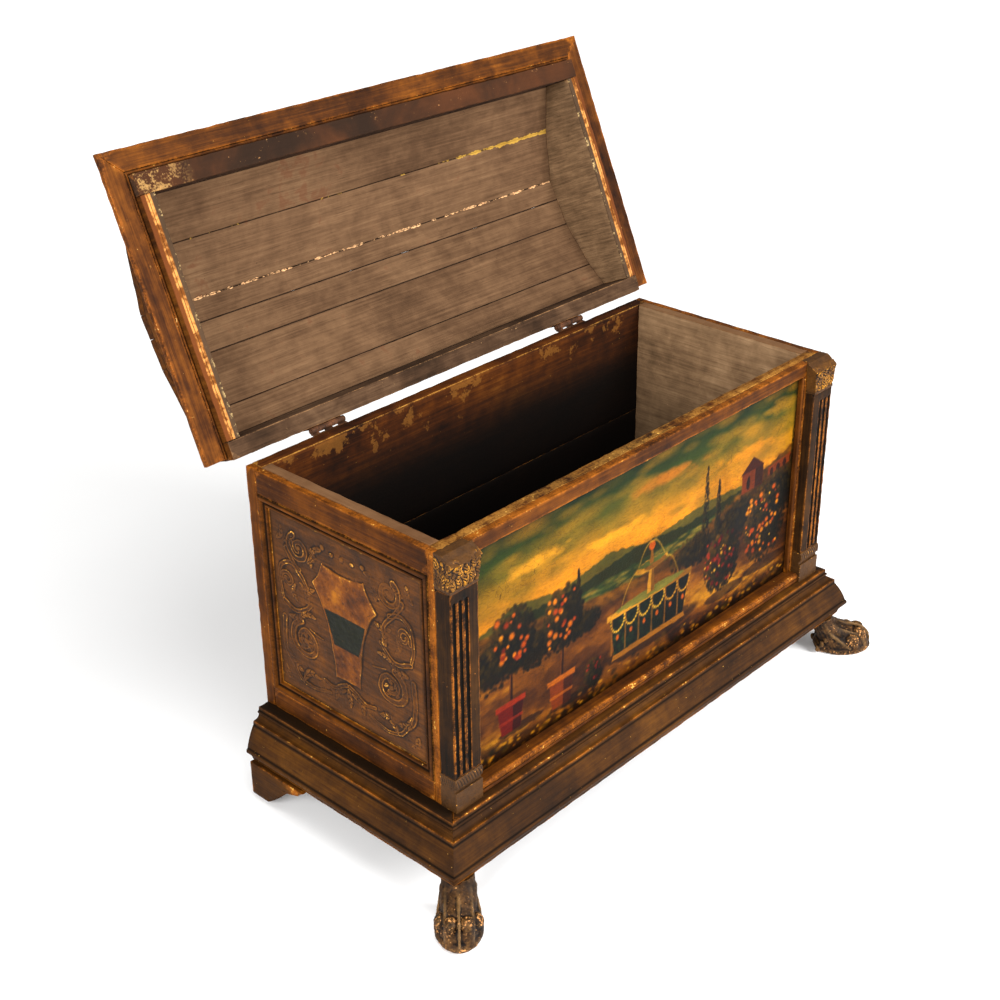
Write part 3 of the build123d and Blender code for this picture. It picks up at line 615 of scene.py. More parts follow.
def carved_heights(u, v):
    """Scrolls and leaves either side of a shield, with a row of buttons above and a cartouche below."""
    work = Carving(u, v)
    levels = np.array([row[0] for row in shield_halves][::-1], float)
    halves = np.array([row[1] for row in shield_halves][::-1], float)
    top = 242 - 5.0 * np.clip(1 - ((u - shield_middle) / 42.0) ** 2, 0, 1)
    inside = crop_in(np.interp(v, levels, halves) - np.abs(u - shield_middle), -0.8, 0.8)
    inside = inside * crop_in(v, 64.2, 65.8) * crop_in(top - v, -0.8, 0.8)
    work.add(inside * 1.5)
    for hand in (-1, 1):
        def at(x, y, hand=hand):
            return (shield_middle + hand * x, y)

        def vine(line, width, height, taper=0.35):
            work.ridge(line, width * 1.2, height * 1.1, taper, gouged=True)

        def leaf(root, tip, width, height, bow, veins=3, hand=hand):
            work.leaf(at(*root), at(*tip), width, height, bow * hand, veins)

        def curl(*points):
            return smooth_line([at(*point) for point in points])

        corner = 3
        edge = [(half, level) for level, half in shield_halves]
        work.ridge(curl(*edge[:corner + 1]), 1.6, 2.0)
        work.ridge(curl(*edge[corner:]), 1.6, 2.0)
        turn = 180 if hand < 0 else 0
        vine(scroll(*at(90, 247), 22, 1.35, turn + hand * 60, -hand, 0.25), 5.0, 1.9)
        work.boss(*at(90, 248), 4.5, 4.5, 1.9)
        vine(curl((116, 240), (101, 217), (86, 200), (76, 186)), 4.4, 1.9)
        leaf((72, 232), (62, 258), 7, 1.6, 0.25)
        leaf((98, 268), (118, 250), 6, 1.3, -0.2)
        leaf((66, 226), (52, 246), 5, 1.2, -0.2)
        vine(scroll(*at(118, 188), 13, 1.1, turn - hand * 20, hand, 0.3), 3.8, 1.6)
        vine(curl((92, 212), (112, 218), (131, 205), (135, 180), (130, 154)), 3.8, 1.7)
        leaf((76, 162), (62, 190), 7, 1.8, -0.3)
        leaf((80, 162), (92, 190), 6, 1.6, 0.25)
        leaf((104, 184), (100, 158), 5, 1.3, 0.25)
        vine(curl((129, 150), (104, 141), (84, 150), (70, 162)), 4.0, 1.6)
        vine(scroll(*at(88, 97), 31, 1.5, turn + hand * 75, -hand, 0.3), 5.4, 1.9, 0.45)
        work.boss(*at(88, 97), 6, 6, 1.8)
        for spoke in range(5):
            angle = math.radians(spoke * 72 + 20)
            root, tip = (at(88 + far * math.cos(angle), 97 + far * math.sin(angle)) for far in (7, 18))
            work.leaf(root, tip, 5.0, 1.3, 0.3, 1)
        leaf((120, 128), (88, 141), 7, 1.6, 0.2)
        leaf((98, 131), (64, 143), 6, 1.5, -0.2)
        work.ridge([at(50, 116), at(66, 118), at(78, 121)], 1.6, 1.6, 0.4)
        vine(curl((133, 122), (135, 90), (131, 62), (120, 44), (104, 26), (80, 20), (42, 28)), 4.6, 1.8, 0.5)
        leaf((126, 62), (100, 40), 7, 1.6, 0.25)
        leaf((98, 24), (62, 42), 7, 1.6, -0.25)
        vine(curl((3, 57), (18, 51), (34, 43), (52, 46)), 3.6, 1.9)
        leaf((8, 46), (30, 24), 6, 1.5, 0.25)
        leaf((44, 262), (60, 250), 5.0, 2.0, 0.2, 1)
        work.boss(*at(40, 267), 4.0, 4.5, 2.0)
        work.boss(*at(21, 263), 4.2, 3.6, 1.8)
        leaf((136, 250), (126, 272), 5, 1.1, 0.2)
        leaf((138, 34), (124, 14), 6, 1.1, 0.2)
    work.boss(shield_middle, 263, 4.4, 3.8, 1.8)
    work.leaf((shield_middle, 50), (shield_middle + 1, 22), 6, 1.9)
    return work.height, inside


def carved_end(side):
    """The carved board of one end, with its shield."""
    node = side + "_end_carved_panel"
    low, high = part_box(node)
    across, up = high.y - low.y, high.z - low.z
    hand = -1 if side == "left" else 1
    ground, thickness, step = 2.4 * mm, 4.8 * mm, 1.0 * mm
    bm = open_grid(across, up, step, thickness)
    u, v, face = face_points(bm)
    flat = points_of(bm)
    warp_u = wander(flat, 2.2, 22, 3.0 + hand)
    warp_v = wander(flat, 2.2, 22, 9.0 + hand)
    from_edge = np.minimum.reduce([u, v, across / mm - u, up / mm - v])
    heights, shield = carved_heights(u + warp_u, v + warp_v)
    tools = wander(flat, 0.30, 60, 5.0) + wander(flat, 0.16, 190, 2.0)
    wear = 0.74 + 0.75 * np.clip(wander(flat, 1.0, 26, 7.0), -0.6, 0.6)
    raise_face(bm, (heights * wear + tools) * np.clip(from_edge / 12, 0, 1), face)
    half = np.interp(v, [band_bottom, band_top], [25.0, 41.5])
    band = (np.abs(u + warp_u * 0.3 - shield_middle) < half) & (v > band_bottom) & (v < band_top)
    face_x = (low.x if hand < 0 else high.x) - hand * ground
    for vert in bm.verts:
        across_here, up_here, out = vert.co
        vert.co = Vector((face_x + hand * out, high.y - across_here, low.z + up_here))
    if hand > 0:
        bmesh.ops.reverse_faces(bm, faces=bm.faces)
    values = {"shield": shield, "band": band, "piece": np.full(len(u), 0.4),
              "arris": np.full(len(u), 0.05), "hollow": from_edge * mm}
    piece = make_piece(bm, node + "_carving", [node], carved_finish(), values, 0)
    mark_carving(piece)


carved_cache = []


def carved_finish():
    if not carved_cache:
        finish = Finish("carved_end_wood")
        proud = finish.read("proud")
        shield, band = finish.read("shield"), finish.read("band")
        hollow = finish.read_mm("hollow")
        mottle = finish.cloud(14.0, 5, 0.62, 0.3)
        grain = finish.cloud(1.0, 5, 0.7, 0.3, finish.stretched((90, 12, 160)))
        specks = finish.cloud(330.0, 3, 0.65)
        ground = finish.tones((mottle * 0.6 + grain * 0.4 - 0.5) * 1.2 + 0.5, [
            (0.30, (0.034, 0.015, 0.004)), (0.46, (0.084, 0.036, 0.007)),
            (0.58, (0.130, 0.055, 0.009)), (0.72, (0.19, 0.084, 0.017))])
        golden = finish.tones((mottle * 0.6 + finish.cloud(60.0, 4, 0.65) * 0.4 - 0.5) * 1.35 + 0.5, [
            (0.32, (0.060, 0.022, 0.003)), (0.46, (0.135, 0.050, 0.006)),
            (0.57, (0.205, 0.080, 0.009)), (0.70, (0.32, 0.145, 0.022))])
        colour = finish.mix(shield * 0.85, ground, golden)
        # Painted shade, with some soiling, where the carving lies back.
        colour = finish.mix(finish.between(0.0 - proud, 0.10, 0.7) * 0.8, colour, (0.022, 0.010, 0.004))
        patch = finish.between(finish.cloud(24.0, 4, 0.6), 0.44, 0.60)
        crest = finish.between(proud, 0.08, 0.8) * (0.25 + patch * 0.75)
        colour = finish.mix(crest * 0.5, colour, (0.32, 0.155, 0.045))
        where = finish.between(specks * 0.35 + finish.cloud(60.0, 3) * 0.65 + patch * 0.05, 0.58, 0.66)
        raw = finish.between(proud, 0.40, 0.95) * where
        colour = finish.mix(raw * 0.8, colour, (0.60, 0.37, 0.19))
        black = finish.tones(specks * 0.5 + grain * 0.5, [
            (0.35, (0.010, 0.010, 0.008)), (0.7, (0.035, 0.035, 0.026))])
        worn_black = band * (1.0 - finish.between(specks * 0.6 + mottle * 0.4, 0.62, 0.68))
        colour = finish.mix(worn_black, colour, black)
        # Painted shade, with some soiling, near the edges of the panel by its frame.
        grime_and_shade = 1.0 - finish.between(hollow, 0.0, 9.0 * mottle + 2.0)
        colour = finish.mix(grime_and_shade * 0.75, colour, (0.018, 0.009, 0.004))
        height = grain * 0.5 + specks * 0.5 - raw * 0.4
        rough = (0.44 + specks * 0.2 + mottle * 0.2 + raw * 0.25 + grime_and_shade * 0.2).clamped()
        carved_cache.append(finish.close(colour, rough, finish.bump(height, 0.22 * mm), 0.14))
    return carved_cache[0]


for side in ("left", "right"):
    carved_end(side)

# ------------------------------------------------ capitals and the carved band of each base

gilt_cache = []


def gilt_finish():
    """Dark carved wood with rubbed gilding on its high points."""
    if not gilt_cache:
        finish = Finish("rubbed_gilt_wood")
        proud = finish.read("proud")
        gilt = finish.read("gilt")
        mottle = finish.cloud(60.0, 4, 0.6)
        specks = finish.cloud(420.0, 3, 0.65)
        wood_tone = finish.tones(mottle * 0.6 + specks * 0.4, dark_tones)
        gold = finish.mix(specks, (0.20, 0.095, 0.022), (0.60, 0.34, 0.10))
        colour = finish.mix(0.35 + gilt * mottle * 0.5, wood_tone, (0.16, 0.078, 0.024))
        # Painted shade, with some soiling, where the carving lies back.
        colour = finish.mix(finish.between(0.0 - proud, 0.05, 0.6) * 0.85, colour, (0.016, 0.008, 0.003))
        crest = finish.between(proud, 0.10, 0.55) * finish.between(mottle + specks * 0.3, 0.56, 0.80)
        colour = finish.mix(crest * (0.06 + gilt * 0.65), colour, gold)
        raw = finish.between(proud, 0.3, 0.7) * finish.between(finish.cloud(150.0, 3), 0.60, 0.65)
        colour = finish.mix(raw * 0.8, colour, (0.55, 0.30, 0.14))
        metal = crest * gilt * 0.6
        rough = (0.55 - crest * gilt * 0.2 + specks * 0.2).clamped()
        gilt_cache.append(finish.close(colour, rough, finish.bump(specks, 0.15 * mm), 0.16, metal))
    return gilt_cache[0]


def fine_copy(node, step):
    """A joiner's piece cut into small faces, ready to be carved."""
    bm = bmesh.new()
    bm.from_mesh(nodes[node].data)
    bmesh.ops.remove_doubles(bm, verts=bm.verts, dist=same_place)
    bmesh.ops.dissolve_limit(bm, angle_limit=nearly_flat, verts=bm.verts, edges=bm.edges)
    bend_in(bm, [s * mm for s in step])
    bmesh.ops.triangulate(bm, faces=[f for f in bm.faces if len(f.verts) > 4])
    bm.normal_update()
    return bm


def carve(bm, heights_for, low, high, hand):
    """Raises the front of a piece, and the side at the chest's corner, by a pattern."""
    points = points_of(bm)
    normals = np.array([v.normal for v in bm.verts])
    v = (points[:, 2] - low.z) / mm
    front = heights_for((points[:, 0] - (low.x + high.x) / 2) / mm, v)
    side = heights_for((points[:, 1] - (low.y + high.y) / 2) / mm * 1.5, v)
    facing = np.clip((-normals[:, 1] - 0.35) / 0.65, 0, 1)
    outward = np.clip((normals[:, 0] * hand - 0.35) / 0.65, 0, 1)
    for vert, rise, push in zip(bm.verts, front * facing, side * outward):
        vert.co.y -= rise * mm
        vert.co.x += hand * push * 0.6 * mm
    return v


def acanthus(u, v):
    """Two rows of small leaves and two volutes, up to the middle of the slab."""
    work = Carving(u + 1.2 * np.sin(v * 0.4), v)
    for hand in (-1, 1):
        work.ridge(scroll(hand * 18, 37, 8.5, 1.5, 90 - hand * 20, hand), 2.2, 3.8, 0.2)
        work.boss(hand * 18, 37, 2.6, 2.6, 3.6)
        work.leaf((hand * 21, 5), (hand * 23, 29), 5.5, 3.2, -0.12 * hand, 3)
        work.leaf((hand * 9, 4), (hand * 13, 24), 5.5, 3.4, -0.1 * hand, 3)
        work.leaf((hand * 6, 20), (hand * 11, 43), 4.5, 3.2, -0.2 * hand, 3)
    work.leaf((0, 4), (0, 36), 6.5, 4.0, 0.0, 5)
    work.boss(0, 41, 4.5, 3.6, 3.4)
    inside = crop_in(v, 2.5, 5.0) * crop_in(47.5 - v, 0, 2.0)
    return work.height * inside - 0.8 * crop_in(v, 3.0, 6.0) * crop_in(40 - v, 0, 2.0)


def tongues(u, v):
    """A row of small upright tongues, as on a carved torus."""
    shape = np.abs(np.sin((u + v * 0.35) * math.pi / 5.2)) ** 0.6
    return 1.6 * shape * crop_in(v, 38.5, 41) * crop_in(55 - v, 0, 2.5)


def carve_block(side, name, pattern, roughness, gilded):
    """A capital or a base, carved on its front and on its outer side."""
    node = side + name
    low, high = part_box(node)
    bm = fine_copy(node, (0.9, 0.9, 0.9))
    v = carve(bm, pattern, low, high, -1 if side == "left" else 1)
    for vert, amount in zip(bm.verts, wander(points_of(bm), 0.5, 160, roughness)):
        vert.co -= vert.normal * max(-0.1, amount) * mm
    bm.normal_update()
    forward = np.clip(np.array([max(-v.normal.y, abs(v.normal.x)) for v in bm.verts]) * 3.0 - 0.5, 0, 1)
    gilt = gilded * crop_in(v, 3.0, 5.0) * crop_in(47 - v, 0, 2.0) * forward
    piece = make_piece(bm, node + "_carving", [node], gilt_finish(), {"gilt": gilt}, 50)
    mark_carving(piece, (2, 6), 0.5)


for side in ("left", "right"):
    carve_block(side, "_pilaster_capital", acanthus, 1.0, 1.0)
    carve_block(side, "_pilaster_base", tongues, 4.0, 0.0)

# ------------------------------------------------ paw feet

paw_cache = []


def paw_finish():
    if not paw_cache:
        finish = Finish("carved_paw_wood")
        proud = finish.read("proud")
        tendon = finish.read("tendon")
        knuckle = finish.read("knuckle")
        low_down = finish.along_mm("Z")
        mottle = finish.cloud(45.0, 4, 0.6)
        specks = finish.cloud(380.0, 3, 0.65)
        grain = finish.cloud(1.0, 4, 0.6, 0.4, finish.stretched((60, 60, 9)))
        dark = shades((0.020, 0.012, 0.006), (0.052, 0.029, 0.013),
                      (0.088, 0.050, 0.023), (0.15, 0.090, 0.044))
        colour = finish.tones(((mottle * 0.5 + grain * 0.5 - 0.5) * 1.4 + 0.5).clamped(), dark)
        # Painted shade, with some soiling, where the carving lies back.
        colour = finish.mix(finish.between(0.0 - proud, 0.05, 0.6) * 0.9, colour, (0.014, 0.007, 0.003))
        crest = finish.between(proud, 0.1, 0.8)
        colour = finish.mix(crest * 0.35, colour, (0.23, 0.15, 0.075))
        colour = finish.mix(tendon * (0.05 + grain * 0.65), colour, (0.23, 0.165, 0.110))
        near_floor = 1.0 - finish.between(low_down, 2.0, 16.0)
        field = finish.cloud(290.0, 3, 0.65) * 0.55 + specks * 0.25 + mottle * 0.2
        raw = finish.between(knuckle * 0.065 + near_floor * 0.075 + proud * 0.03 + field, 0.60, 0.66)
        raw = raw * (1.0 - tendon * 0.6)
        bare_wood = finish.mix(specks, (0.17, 0.060, 0.022), (0.74, 0.48, 0.28))
        colour = finish.mix(raw * 0.9, colour, bare_wood)
        height = grain * 0.4 + specks * 0.4 - raw * 0.6
        rough = (0.5 + specks * 0.25 + raw * 0.2 - crest * 0.1).clamped()
        normal = finish.bump(height, 0.3 * mm)
        paw_cache.append(finish.close(colour, rough, normal, 0.12, amber=(1.0, 0.96, 0.72)))
    return paw_cache[0]


balls = {}


def ball(bm, centre, radii, fine=16):
    """Adds a stretched ball, copied from one that is made once for each fineness."""
    if fine not in balls:
        balls[fine] = bmesh.new()
        bmesh.ops.create_uvsphere(balls[fine], u_segments=fine, v_segments=fine // 2 + 2, radius=1.0)
    copy = balls[fine].copy()
    place = Matrix.Translation(centre) @ Matrix.Diagonal((*radii, 1))
    bmesh.ops.transform(copy, matrix=place, verts=copy.verts)
    mesh = bpy.data.meshes.new("ball")
    copy.to_mesh(mesh)
    copy.free()
    bm.from_mesh(mesh)
    bpy.data.meshes.remove(mesh)


def limb(bm, points, radii, flat=1.0, fine=12):
    """A rounded limb through a few points, with a radius at each; flat squeezes it sideways."""
    line = smooth_line([(*p, r) for p, r in zip(points, radii)], 6)
    for row in line:
        ball(bm, row[:3], (row[3], row[3] * flat, row[3]), fine)


paw_top = 66.0
knuckles = [(84, -11, 31), (84, 11, 31), (70, -25, 26), (70, 25, 26)]


def tendon_lines():
    """The ridges that run down a paw between its toes, in millimetres."""
    middle = [(30, 0, 62), (44, 0, 52), (58, 0, 47.5), (74, 0, 46), (90, 0, 40), (101, 0, 29), (105.5, 0, 16),
              (104, 0, 5)]
    between = [(26, 14, 60), (44, 17, 47), (62, 18.5, 40.5), (80, 19, 34), (92, 18.5, 21), (94, 18, 8)]
    outer = [(20, 20.5, 58), (30, 24, 42), (48, 29, 27), (66, 32, 14)]
    lines = [middle]
    for hand in (-1, 1):
        lines += [[(x, hand * y, z) for x, y, z in line] for line in (between, outer)]
    return [smooth_line(line, 6) for line in lines]


def paw_shape():
    """A lion's paw that points along x, in millimetres, with its heel at the left and its sole at z = 0."""
    bm = bmesh.new()
    limb(bm, [(15.5, 0, 68), (22, 0, 52), (32, 0, 36), (38, 0, 18)], [19, 19.5, 21, 22], 1.24, 24)
    limb(bm, [(24, 0, 48), (44, 0, 37), (64, 0, 29)], [17, 16.5, 16], 1.55, 24)
    ball(bm, (28, 0, 10), (20, 25, 16), 24)
    ball(bm, (58, 0, 17), (44, 32.5, 24), 32)
    ball(bm, (59, 0, 7), (49.5, 34.5, 15), 32)
    for x, y, z in knuckles:
        if abs(y) > 15:
            ball(bm, (x, y, z), (12.5, 9.6, 12.0), 24)
            limb(bm, [(x + 2, y, z - 4), (76, y * 0.96, 10)], [9.6, 9.8], 0.98, 16)
        else:
            ball(bm, (x, y, z), (13.5, 10.6, 12.5), 24)
            limb(bm, [(x + 3, y, z - 4), (92, y * 0.95, 10.5)], [11.0, 11.0], 0.98, 16)
    for line in tendon_lines():
        for number, point in enumerate(line):
            thin = 3.5 - 1.1 * number / len(line)
            ball(bm, point, (thin, thin * 0.8, thin), 8)
    for hand in (-1, 1):
        for tuft in range(6):
            ball(bm, (12 + tuft * 6.5, hand * (20 + tuft * 1.1), 9 + (tuft % 3) * 9), (4.2, 4.2, 6.5), 8)
    bmesh.ops.scale(bm, vec=(mm, mm, mm), verts=bm.verts)
    return bm


def solid_from(bm, grain_size):
    """Overlapping shapes made into one skin."""
    mesh = bpy.data.meshes.new("shapes")
    bm.to_mesh(mesh)
    bm.free()
    rough_out = bpy.data.objects.new("shapes", mesh)
    bpy.context.scene.collection.objects.link(rough_out)
    remesh = rough_out.modifiers.new("skin", "REMESH")
    remesh.mode = "VOXEL"
    remesh.voxel_size = grain_size
    finished = rough_out.evaluated_get(bpy.context.evaluated_depsgraph_get())
    skin = bpy.data.meshes.new_from_object(finished)
    bpy.data.objects.remove(rough_out)
    bm = bmesh.new()
    bm.from_mesh(skin)
    return bm


def paw_values(points):
    """How near each point is to a tendon and to a knuckle."""
    lines = [(a * mm, b * mm) for line in tendon_lines() for a, b in zip(line[:-1], line[1:])]
    tendon = np.clip(1.7 - measure(points, lines) / (2.6 * mm), 0, 1)
    near = np.min([np.linalg.norm(points - np.array(k) * mm, axis=1) for k in knuckles], axis=0)
    knuckle = np.clip(2.1 - near / (10 * mm), 0, 1)
    return {"tendon": tendon, "knuckle": knuckle, "piece": np.full(len(points), 0.5)}


def paw(side, skin, values):
    """One foot: the skin turned to point out from its corner of the chest, flat on the floor and on top."""
    node = side + "_paw_foot"
    hand = -1 if side == "left" else 1
    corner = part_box("left_pilaster_shaft")[0]
    bm = skin.copy()
    place = Matrix.Translation((hand * abs(corner.x), corner.y, 0))
    turn = Matrix.Rotation(math.radians(-90 + hand * 45), 4, "Z")
    bmesh.ops.transform(bm, matrix=place @ turn, verts=bm.verts)
    for vert in bm.verts:
        vert.co.z = min(max(vert.co.z, 0.0), paw_top * mm)
    piece = make_piece(bm, node + "_carving", [node], paw_finish(), values, 0)
    mark_carving(piece, (3, 10), 0.45)


paw_grain = 1.05 * mm
fur_reach = 58 * mm
paw_skin = solid_from(paw_shape(), paw_grain)
for _ in range(3):
    bmesh.ops.smooth_vert(paw_skin, verts=paw_skin.verts, factor=0.5,
                          use_axis_x=True, use_axis_y=True, use_axis_z=True)
paw_skin.normal_update()
paw_marks = paw_values(points_of(paw_skin))
for vert in paw_skin.verts:
    at = vert.co
    lock = math.sin(at.x * 950 + at.z * 420 + 3 * noise.noise(at * 60))
    fur = lock * 0.35 * max(0.0, 1 - at.x / fur_reach)
    gouge = noise.fractal(at * 120, 0.8, 2.0, 3)
    vert.co += vert.normal * (fur + gouge * 0.7) * mm
for side in ("left", "right"):
    paw(side, paw_skin, paw_marks)

# ------------------------------------------------ the painted front

def srgb(r, g, b):
    """A painter's colour, 0 to 255, as light."""
    return np.array([((c / 255 + 0.055) / 1.055) ** 2.4 if c > 10 else c / 255 / 12.92 for c in (r, g, b)])


def palette(*colours):
    return [srgb(*colour) for colour in colours]


class Canvas:
    """A painting built up in layers over a grid of points: u across and v up, both 0 to 1."""

    def __init__(self, wide, tall, ratio):
        self.v, self.u = np.meshgrid(np.linspace(0, 1, tall), np.linspace(0, 1, wide), indexing="ij")
        self.u = self.u * ratio
        self.colour = np.zeros((tall, wide, 3))
        self.random = np.random.default_rng(11)
        self.wobble = self.cloud(9, 0.012)
        self.rough = self.cloud(60, 0.006)

    def cloud(self, scale, size):
        """Soft random values over the canvas."""
        total = np.zeros(self.u.shape)
        for octave in range(4):
            f = scale * 2 ** octave
            for _ in range(3):
                angle, phase = self.random.uniform(0, 6.28, 2)
                ahead = self.u * math.cos(angle) + self.v * math.sin(angle)
                across = self.v * math.cos(angle) - self.u * math.sin(angle)
                bend = 1.7 * np.sin(across * f * 0.7 + phase * 2)
                total += np.sin(ahead * f + phase + bend) / 2 ** octave
        return total * size / 3

    def lay(self, mask, colour, amount=1.0):
        share = np.clip(mask, 0, 1)[..., None] * amount
        self.colour = self.colour * (1 - share) + np.asarray(colour) * share

    def land(self, line, colour, amount=1.0, soft=0.006):
        """Paints everything under a line given as points (u, v)."""
        line = np.array(line)
        edge = np.interp(self.u, line[:, 0], line[:, 1]) + self.rough
        self.lay(np.clip((edge - self.v) / soft + 0.5, 0, 1), colour, amount)

    def oval(self, cu, cv, ru, rv, colour, amount=1.0, soft=0.12):
        du, dv = self.u + self.rough * 0.5 - cu, self.v + self.rough * 0.5 - cv
        gap = np.hypot(du / ru, dv / rv)
        self.lay(np.clip((1 - gap) / soft, 0, 1), colour, amount)

    def shape(self, corners, colour, amount=1.0, soft=0.004):
        """Paints inside a convex outline, given anticlockwise."""
        inside = np.ones(self.u.shape)
        for (a, b), (c, d) in zip(corners, corners[1:] + corners[:1]):
            length = math.hypot(c - a, d - b)
            gap = ((c - a) * (self.v - b) - (d - b) * (self.u - a)) / length + self.rough * 0.25
            inside = np.minimum(inside, np.clip(gap / soft + 0.5, 0, 1))
        self.lay(inside, colour, amount)

    def oblong(self, left, low, right, high, colour, amount=1.0):
        self.shape([(left, low), (right, low), (right, high), (left, high)], colour, amount)

    def dabs(self, count, place, size, colours, amount=0.8, flat=1.0, slope=0.0):
        """Many small touches of the brush; place gives each one's middle and how lit it is, 0 to 1."""
        rows, columns = self.u.shape
        du, dv = self.u[0, 1] - self.u[0, 0], self.v[1, 0] - self.v[0, 0]
        for _ in range(count):
            cu, cv, lit = place(self.random)
            r = size * self.random.uniform(0.6, 1.4)
            i0, i1 = int((cv - r) / dv), int((cv + r) / dv) + 2
            j0, j1 = int((cu - r * flat) / du), int((cu + r * flat) / du) + 2
            i0, j0, i1, j1 = max(i0, 0), max(j0, 0), min(i1, rows), min(j1, columns)
            if i0 >= i1 or j0 >= j1:
                continue
            uu, vv = self.u[i0:i1, j0:j1] - cu, self.v[i0:i1, j0:j1] - cv
            vv = vv - slope * uu
            mask = np.clip(1.6 * (1 - np.hypot(uu / flat, vv) / r), 0, 1)[..., None] * amount
            t = np.clip(lit + self.random.normal(0, 0.12), 0, 0.999) * (len(colours) - 1)
            k = int(t)
            tone = colours[k] * (1 - t + k) + colours[k + 1] * (t - k)
            part = self.colour[i0:i1, j0:j1]
            self.colour[i0:i1, j0:j1] = part * (1 - mask) + tone * mask


leaf_tones = palette((24, 24, 10), (48, 46, 16), (88, 78, 26), (142, 112, 42))
olive_tones = palette((50, 42, 10), (92, 70, 14), (140, 104, 24), (190, 148, 46))
ground_tones = palette((66, 42, 12), (120, 82, 24), (180, 132, 48), (232, 190, 96))
brick_tones = palette((56, 26, 8), (104, 54, 14), (152, 88, 26), (206, 140, 54))
blue_tones = palette((14, 26, 30), (26, 50, 58), (52, 86, 92), (98, 130, 120))
cream_tones = palette((120, 84, 36), (180, 138, 68), (228, 188, 108), (246, 216, 140))
red_tones = palette((52, 10, 6), (100, 22, 10), (146, 42, 18), (190, 84, 40))
orange_tones = palette((124, 50, 6), (190, 92, 10), (228, 138, 22), (246, 186, 58))


def crown(canvas, cu, cv, ru, rv, tones, count, size=0.012):
    """The leafy mass of a tree or bush, lit from the upper left."""
    def place(random):
        angle, reach = random.uniform(0, 6.28), math.sqrt(random.uniform(0, 1))
        x, y = math.cos(angle) * reach, math.sin(angle) * reach
        lump = 0.5 + 0.5 * math.sin(x * 7 + cu * 40) * math.sin(y * 8 + cv * 30)
        return cu + x * ru, cv + y * rv, 0.42 + 0.28 * y - 0.26 * x + 0.25 * (lump - 0.5)

    canvas.oval(cu, cv, ru * 0.9, rv * 0.9, tones[0], 0.9, 0.3)
    canvas.dabs(count, place, size, tones, 0.75)


def trunk(canvas, cu, low, high, wide, lean=0.0):
    top = cu + lean
    left, light, right = (cu - wide, low), (cu - wide * 0.2, low), (cu + wide, low)
    high_left = (top - wide * 0.6, high)
    canvas.shape([left, right, (top + wide * 0.6, high), high_left], srgb(70, 42, 20))
    canvas.shape([left, light, (top - wide * 0.1, high), high_left], srgb(158, 108, 56), 0.7)


def fruit(canvas, cu, cv, ru, rv, tones, count, size):
    def place(random):
        return cu + random.uniform(-1, 1) * ru, cv + random.uniform(-1, 1) * rv, random.uniform(0.3, 1.0)

    canvas.dabs(count, place, size, tones, 0.95)


def anywhere(left, right, low, high):
    """Places spread evenly over an oblong, lit at random."""
    def place(random):
        return random.uniform(left, right), random.uniform(low, high), random.uniform(0, 1)

    return place


def evening_sky(c, ratio):
    height = c.v + c.wobble * 0.9
    stops = np.array([0.0, 0.52, 0.60, 0.68, 0.78, 0.88, 1.0])
    sky = np.array(palette((120, 82, 30), (236, 158, 34), (248, 192, 62), (236, 186, 80),
                           (186, 164, 84), (92, 118, 84), (42, 74, 66)))
    for k in range(3):
        c.colour[..., k] = np.interp(height, stops, sky[:, k])
    haze = palette((96, 116, 82), (186, 164, 86), (244, 196, 84))
    c.dabs(260, anywhere(0, ratio, 0.58, 1.0), 0.030, haze, 0.24, 3.2)
    for u0, v0, long, tone in ((0.35, 0.80, 0.20, (240, 200, 104)), (1.15, 0.86, 0.24, (216, 164, 84)),
                               (1.70, 0.76, 0.26, (244, 192, 84)), (0.82, 0.72, 0.22, (250, 206, 96)),
                               (1.98, 0.90, 0.18, (186, 164, 96))):
        def cloud_at(random, u0=u0, v0=v0, long=long):
            return u0 + random.normal(0, long * 0.4), v0 + random.normal(0, 0.012), 0.5

        c.dabs(70, cloud_at, 0.016, palette(tone, tone), 0.30, 2.6)


def lake_and_hills(c, ratio):
    c.land([(0, 0.60), (0.22, 0.665), (0.5, 0.61), (0.8, 0.655), (1.05, 0.60), (1.4, 0.63), (ratio, 0.585)],
           srgb(92, 112, 88), 0.85)
    c.land([(0, 0.565), (0.3, 0.60), (0.62, 0.58), (0.95, 0.612), (1.3, 0.575), (1.7, 0.59), (ratio, 0.60)],
           srgb(54, 74, 58), 0.9)
    c.land([(0, 0.535), (ratio, 0.54)], srgb(70, 100, 92))
    ripple = palette((58, 84, 80), (140, 156, 124), (226, 196, 132))
    c.dabs(240, anywhere(0.3, 1.7, 0.44, 0.535), 0.010, ripple, 0.4, 4.0)
    bank = [(0, 0.60), (0.18, 0.585), (0.42, 0.53), (0.72, 0.475), (1.0, 0.455), (1.3, 0.47), (1.62, 0.545),
            (1.85, 0.62), (ratio, 0.68)]
    c.land(bank, olive_tones[1])

    def slope_at(random):
        u = random.uniform(0, ratio)
        edge = np.interp(u, *zip(*bank))
        v = edge - abs(random.normal(0, 0.08))
        return u, v, 0.75 - (edge - v) * 4.5 + 0.1 * math.sin(u * 9)

    c.dabs(900, slope_at, 0.016, olive_tones, 0.5, 2.0, -0.2)


def chapel(c):
    """A chapel, and a wall with arches beside it, far off on the right bank."""
    c.oblong(1.70, 0.56, 1.86, 0.66, brick_tones[2])
    c.oblong(1.80, 0.56, 1.86, 0.66, brick_tones[0], 0.8)
    c.shape([(1.69, 0.655), (1.87, 0.655), (1.78, 0.72)], brick_tones[1])
    c.oval(1.75, 0.60, 0.014, 0.035, brick_tones[0])
    c.shape([(1.90, 0.58), (2.16, 0.60), (2.16, 0.65), (1.90, 0.62)], brick_tones[2], 0.9)
    for k in range(5):
        c.oval(1.93 + k * 0.05, 0.592 + k * 0.006, 0.014, 0.022, brick_tones[0], 0.85)


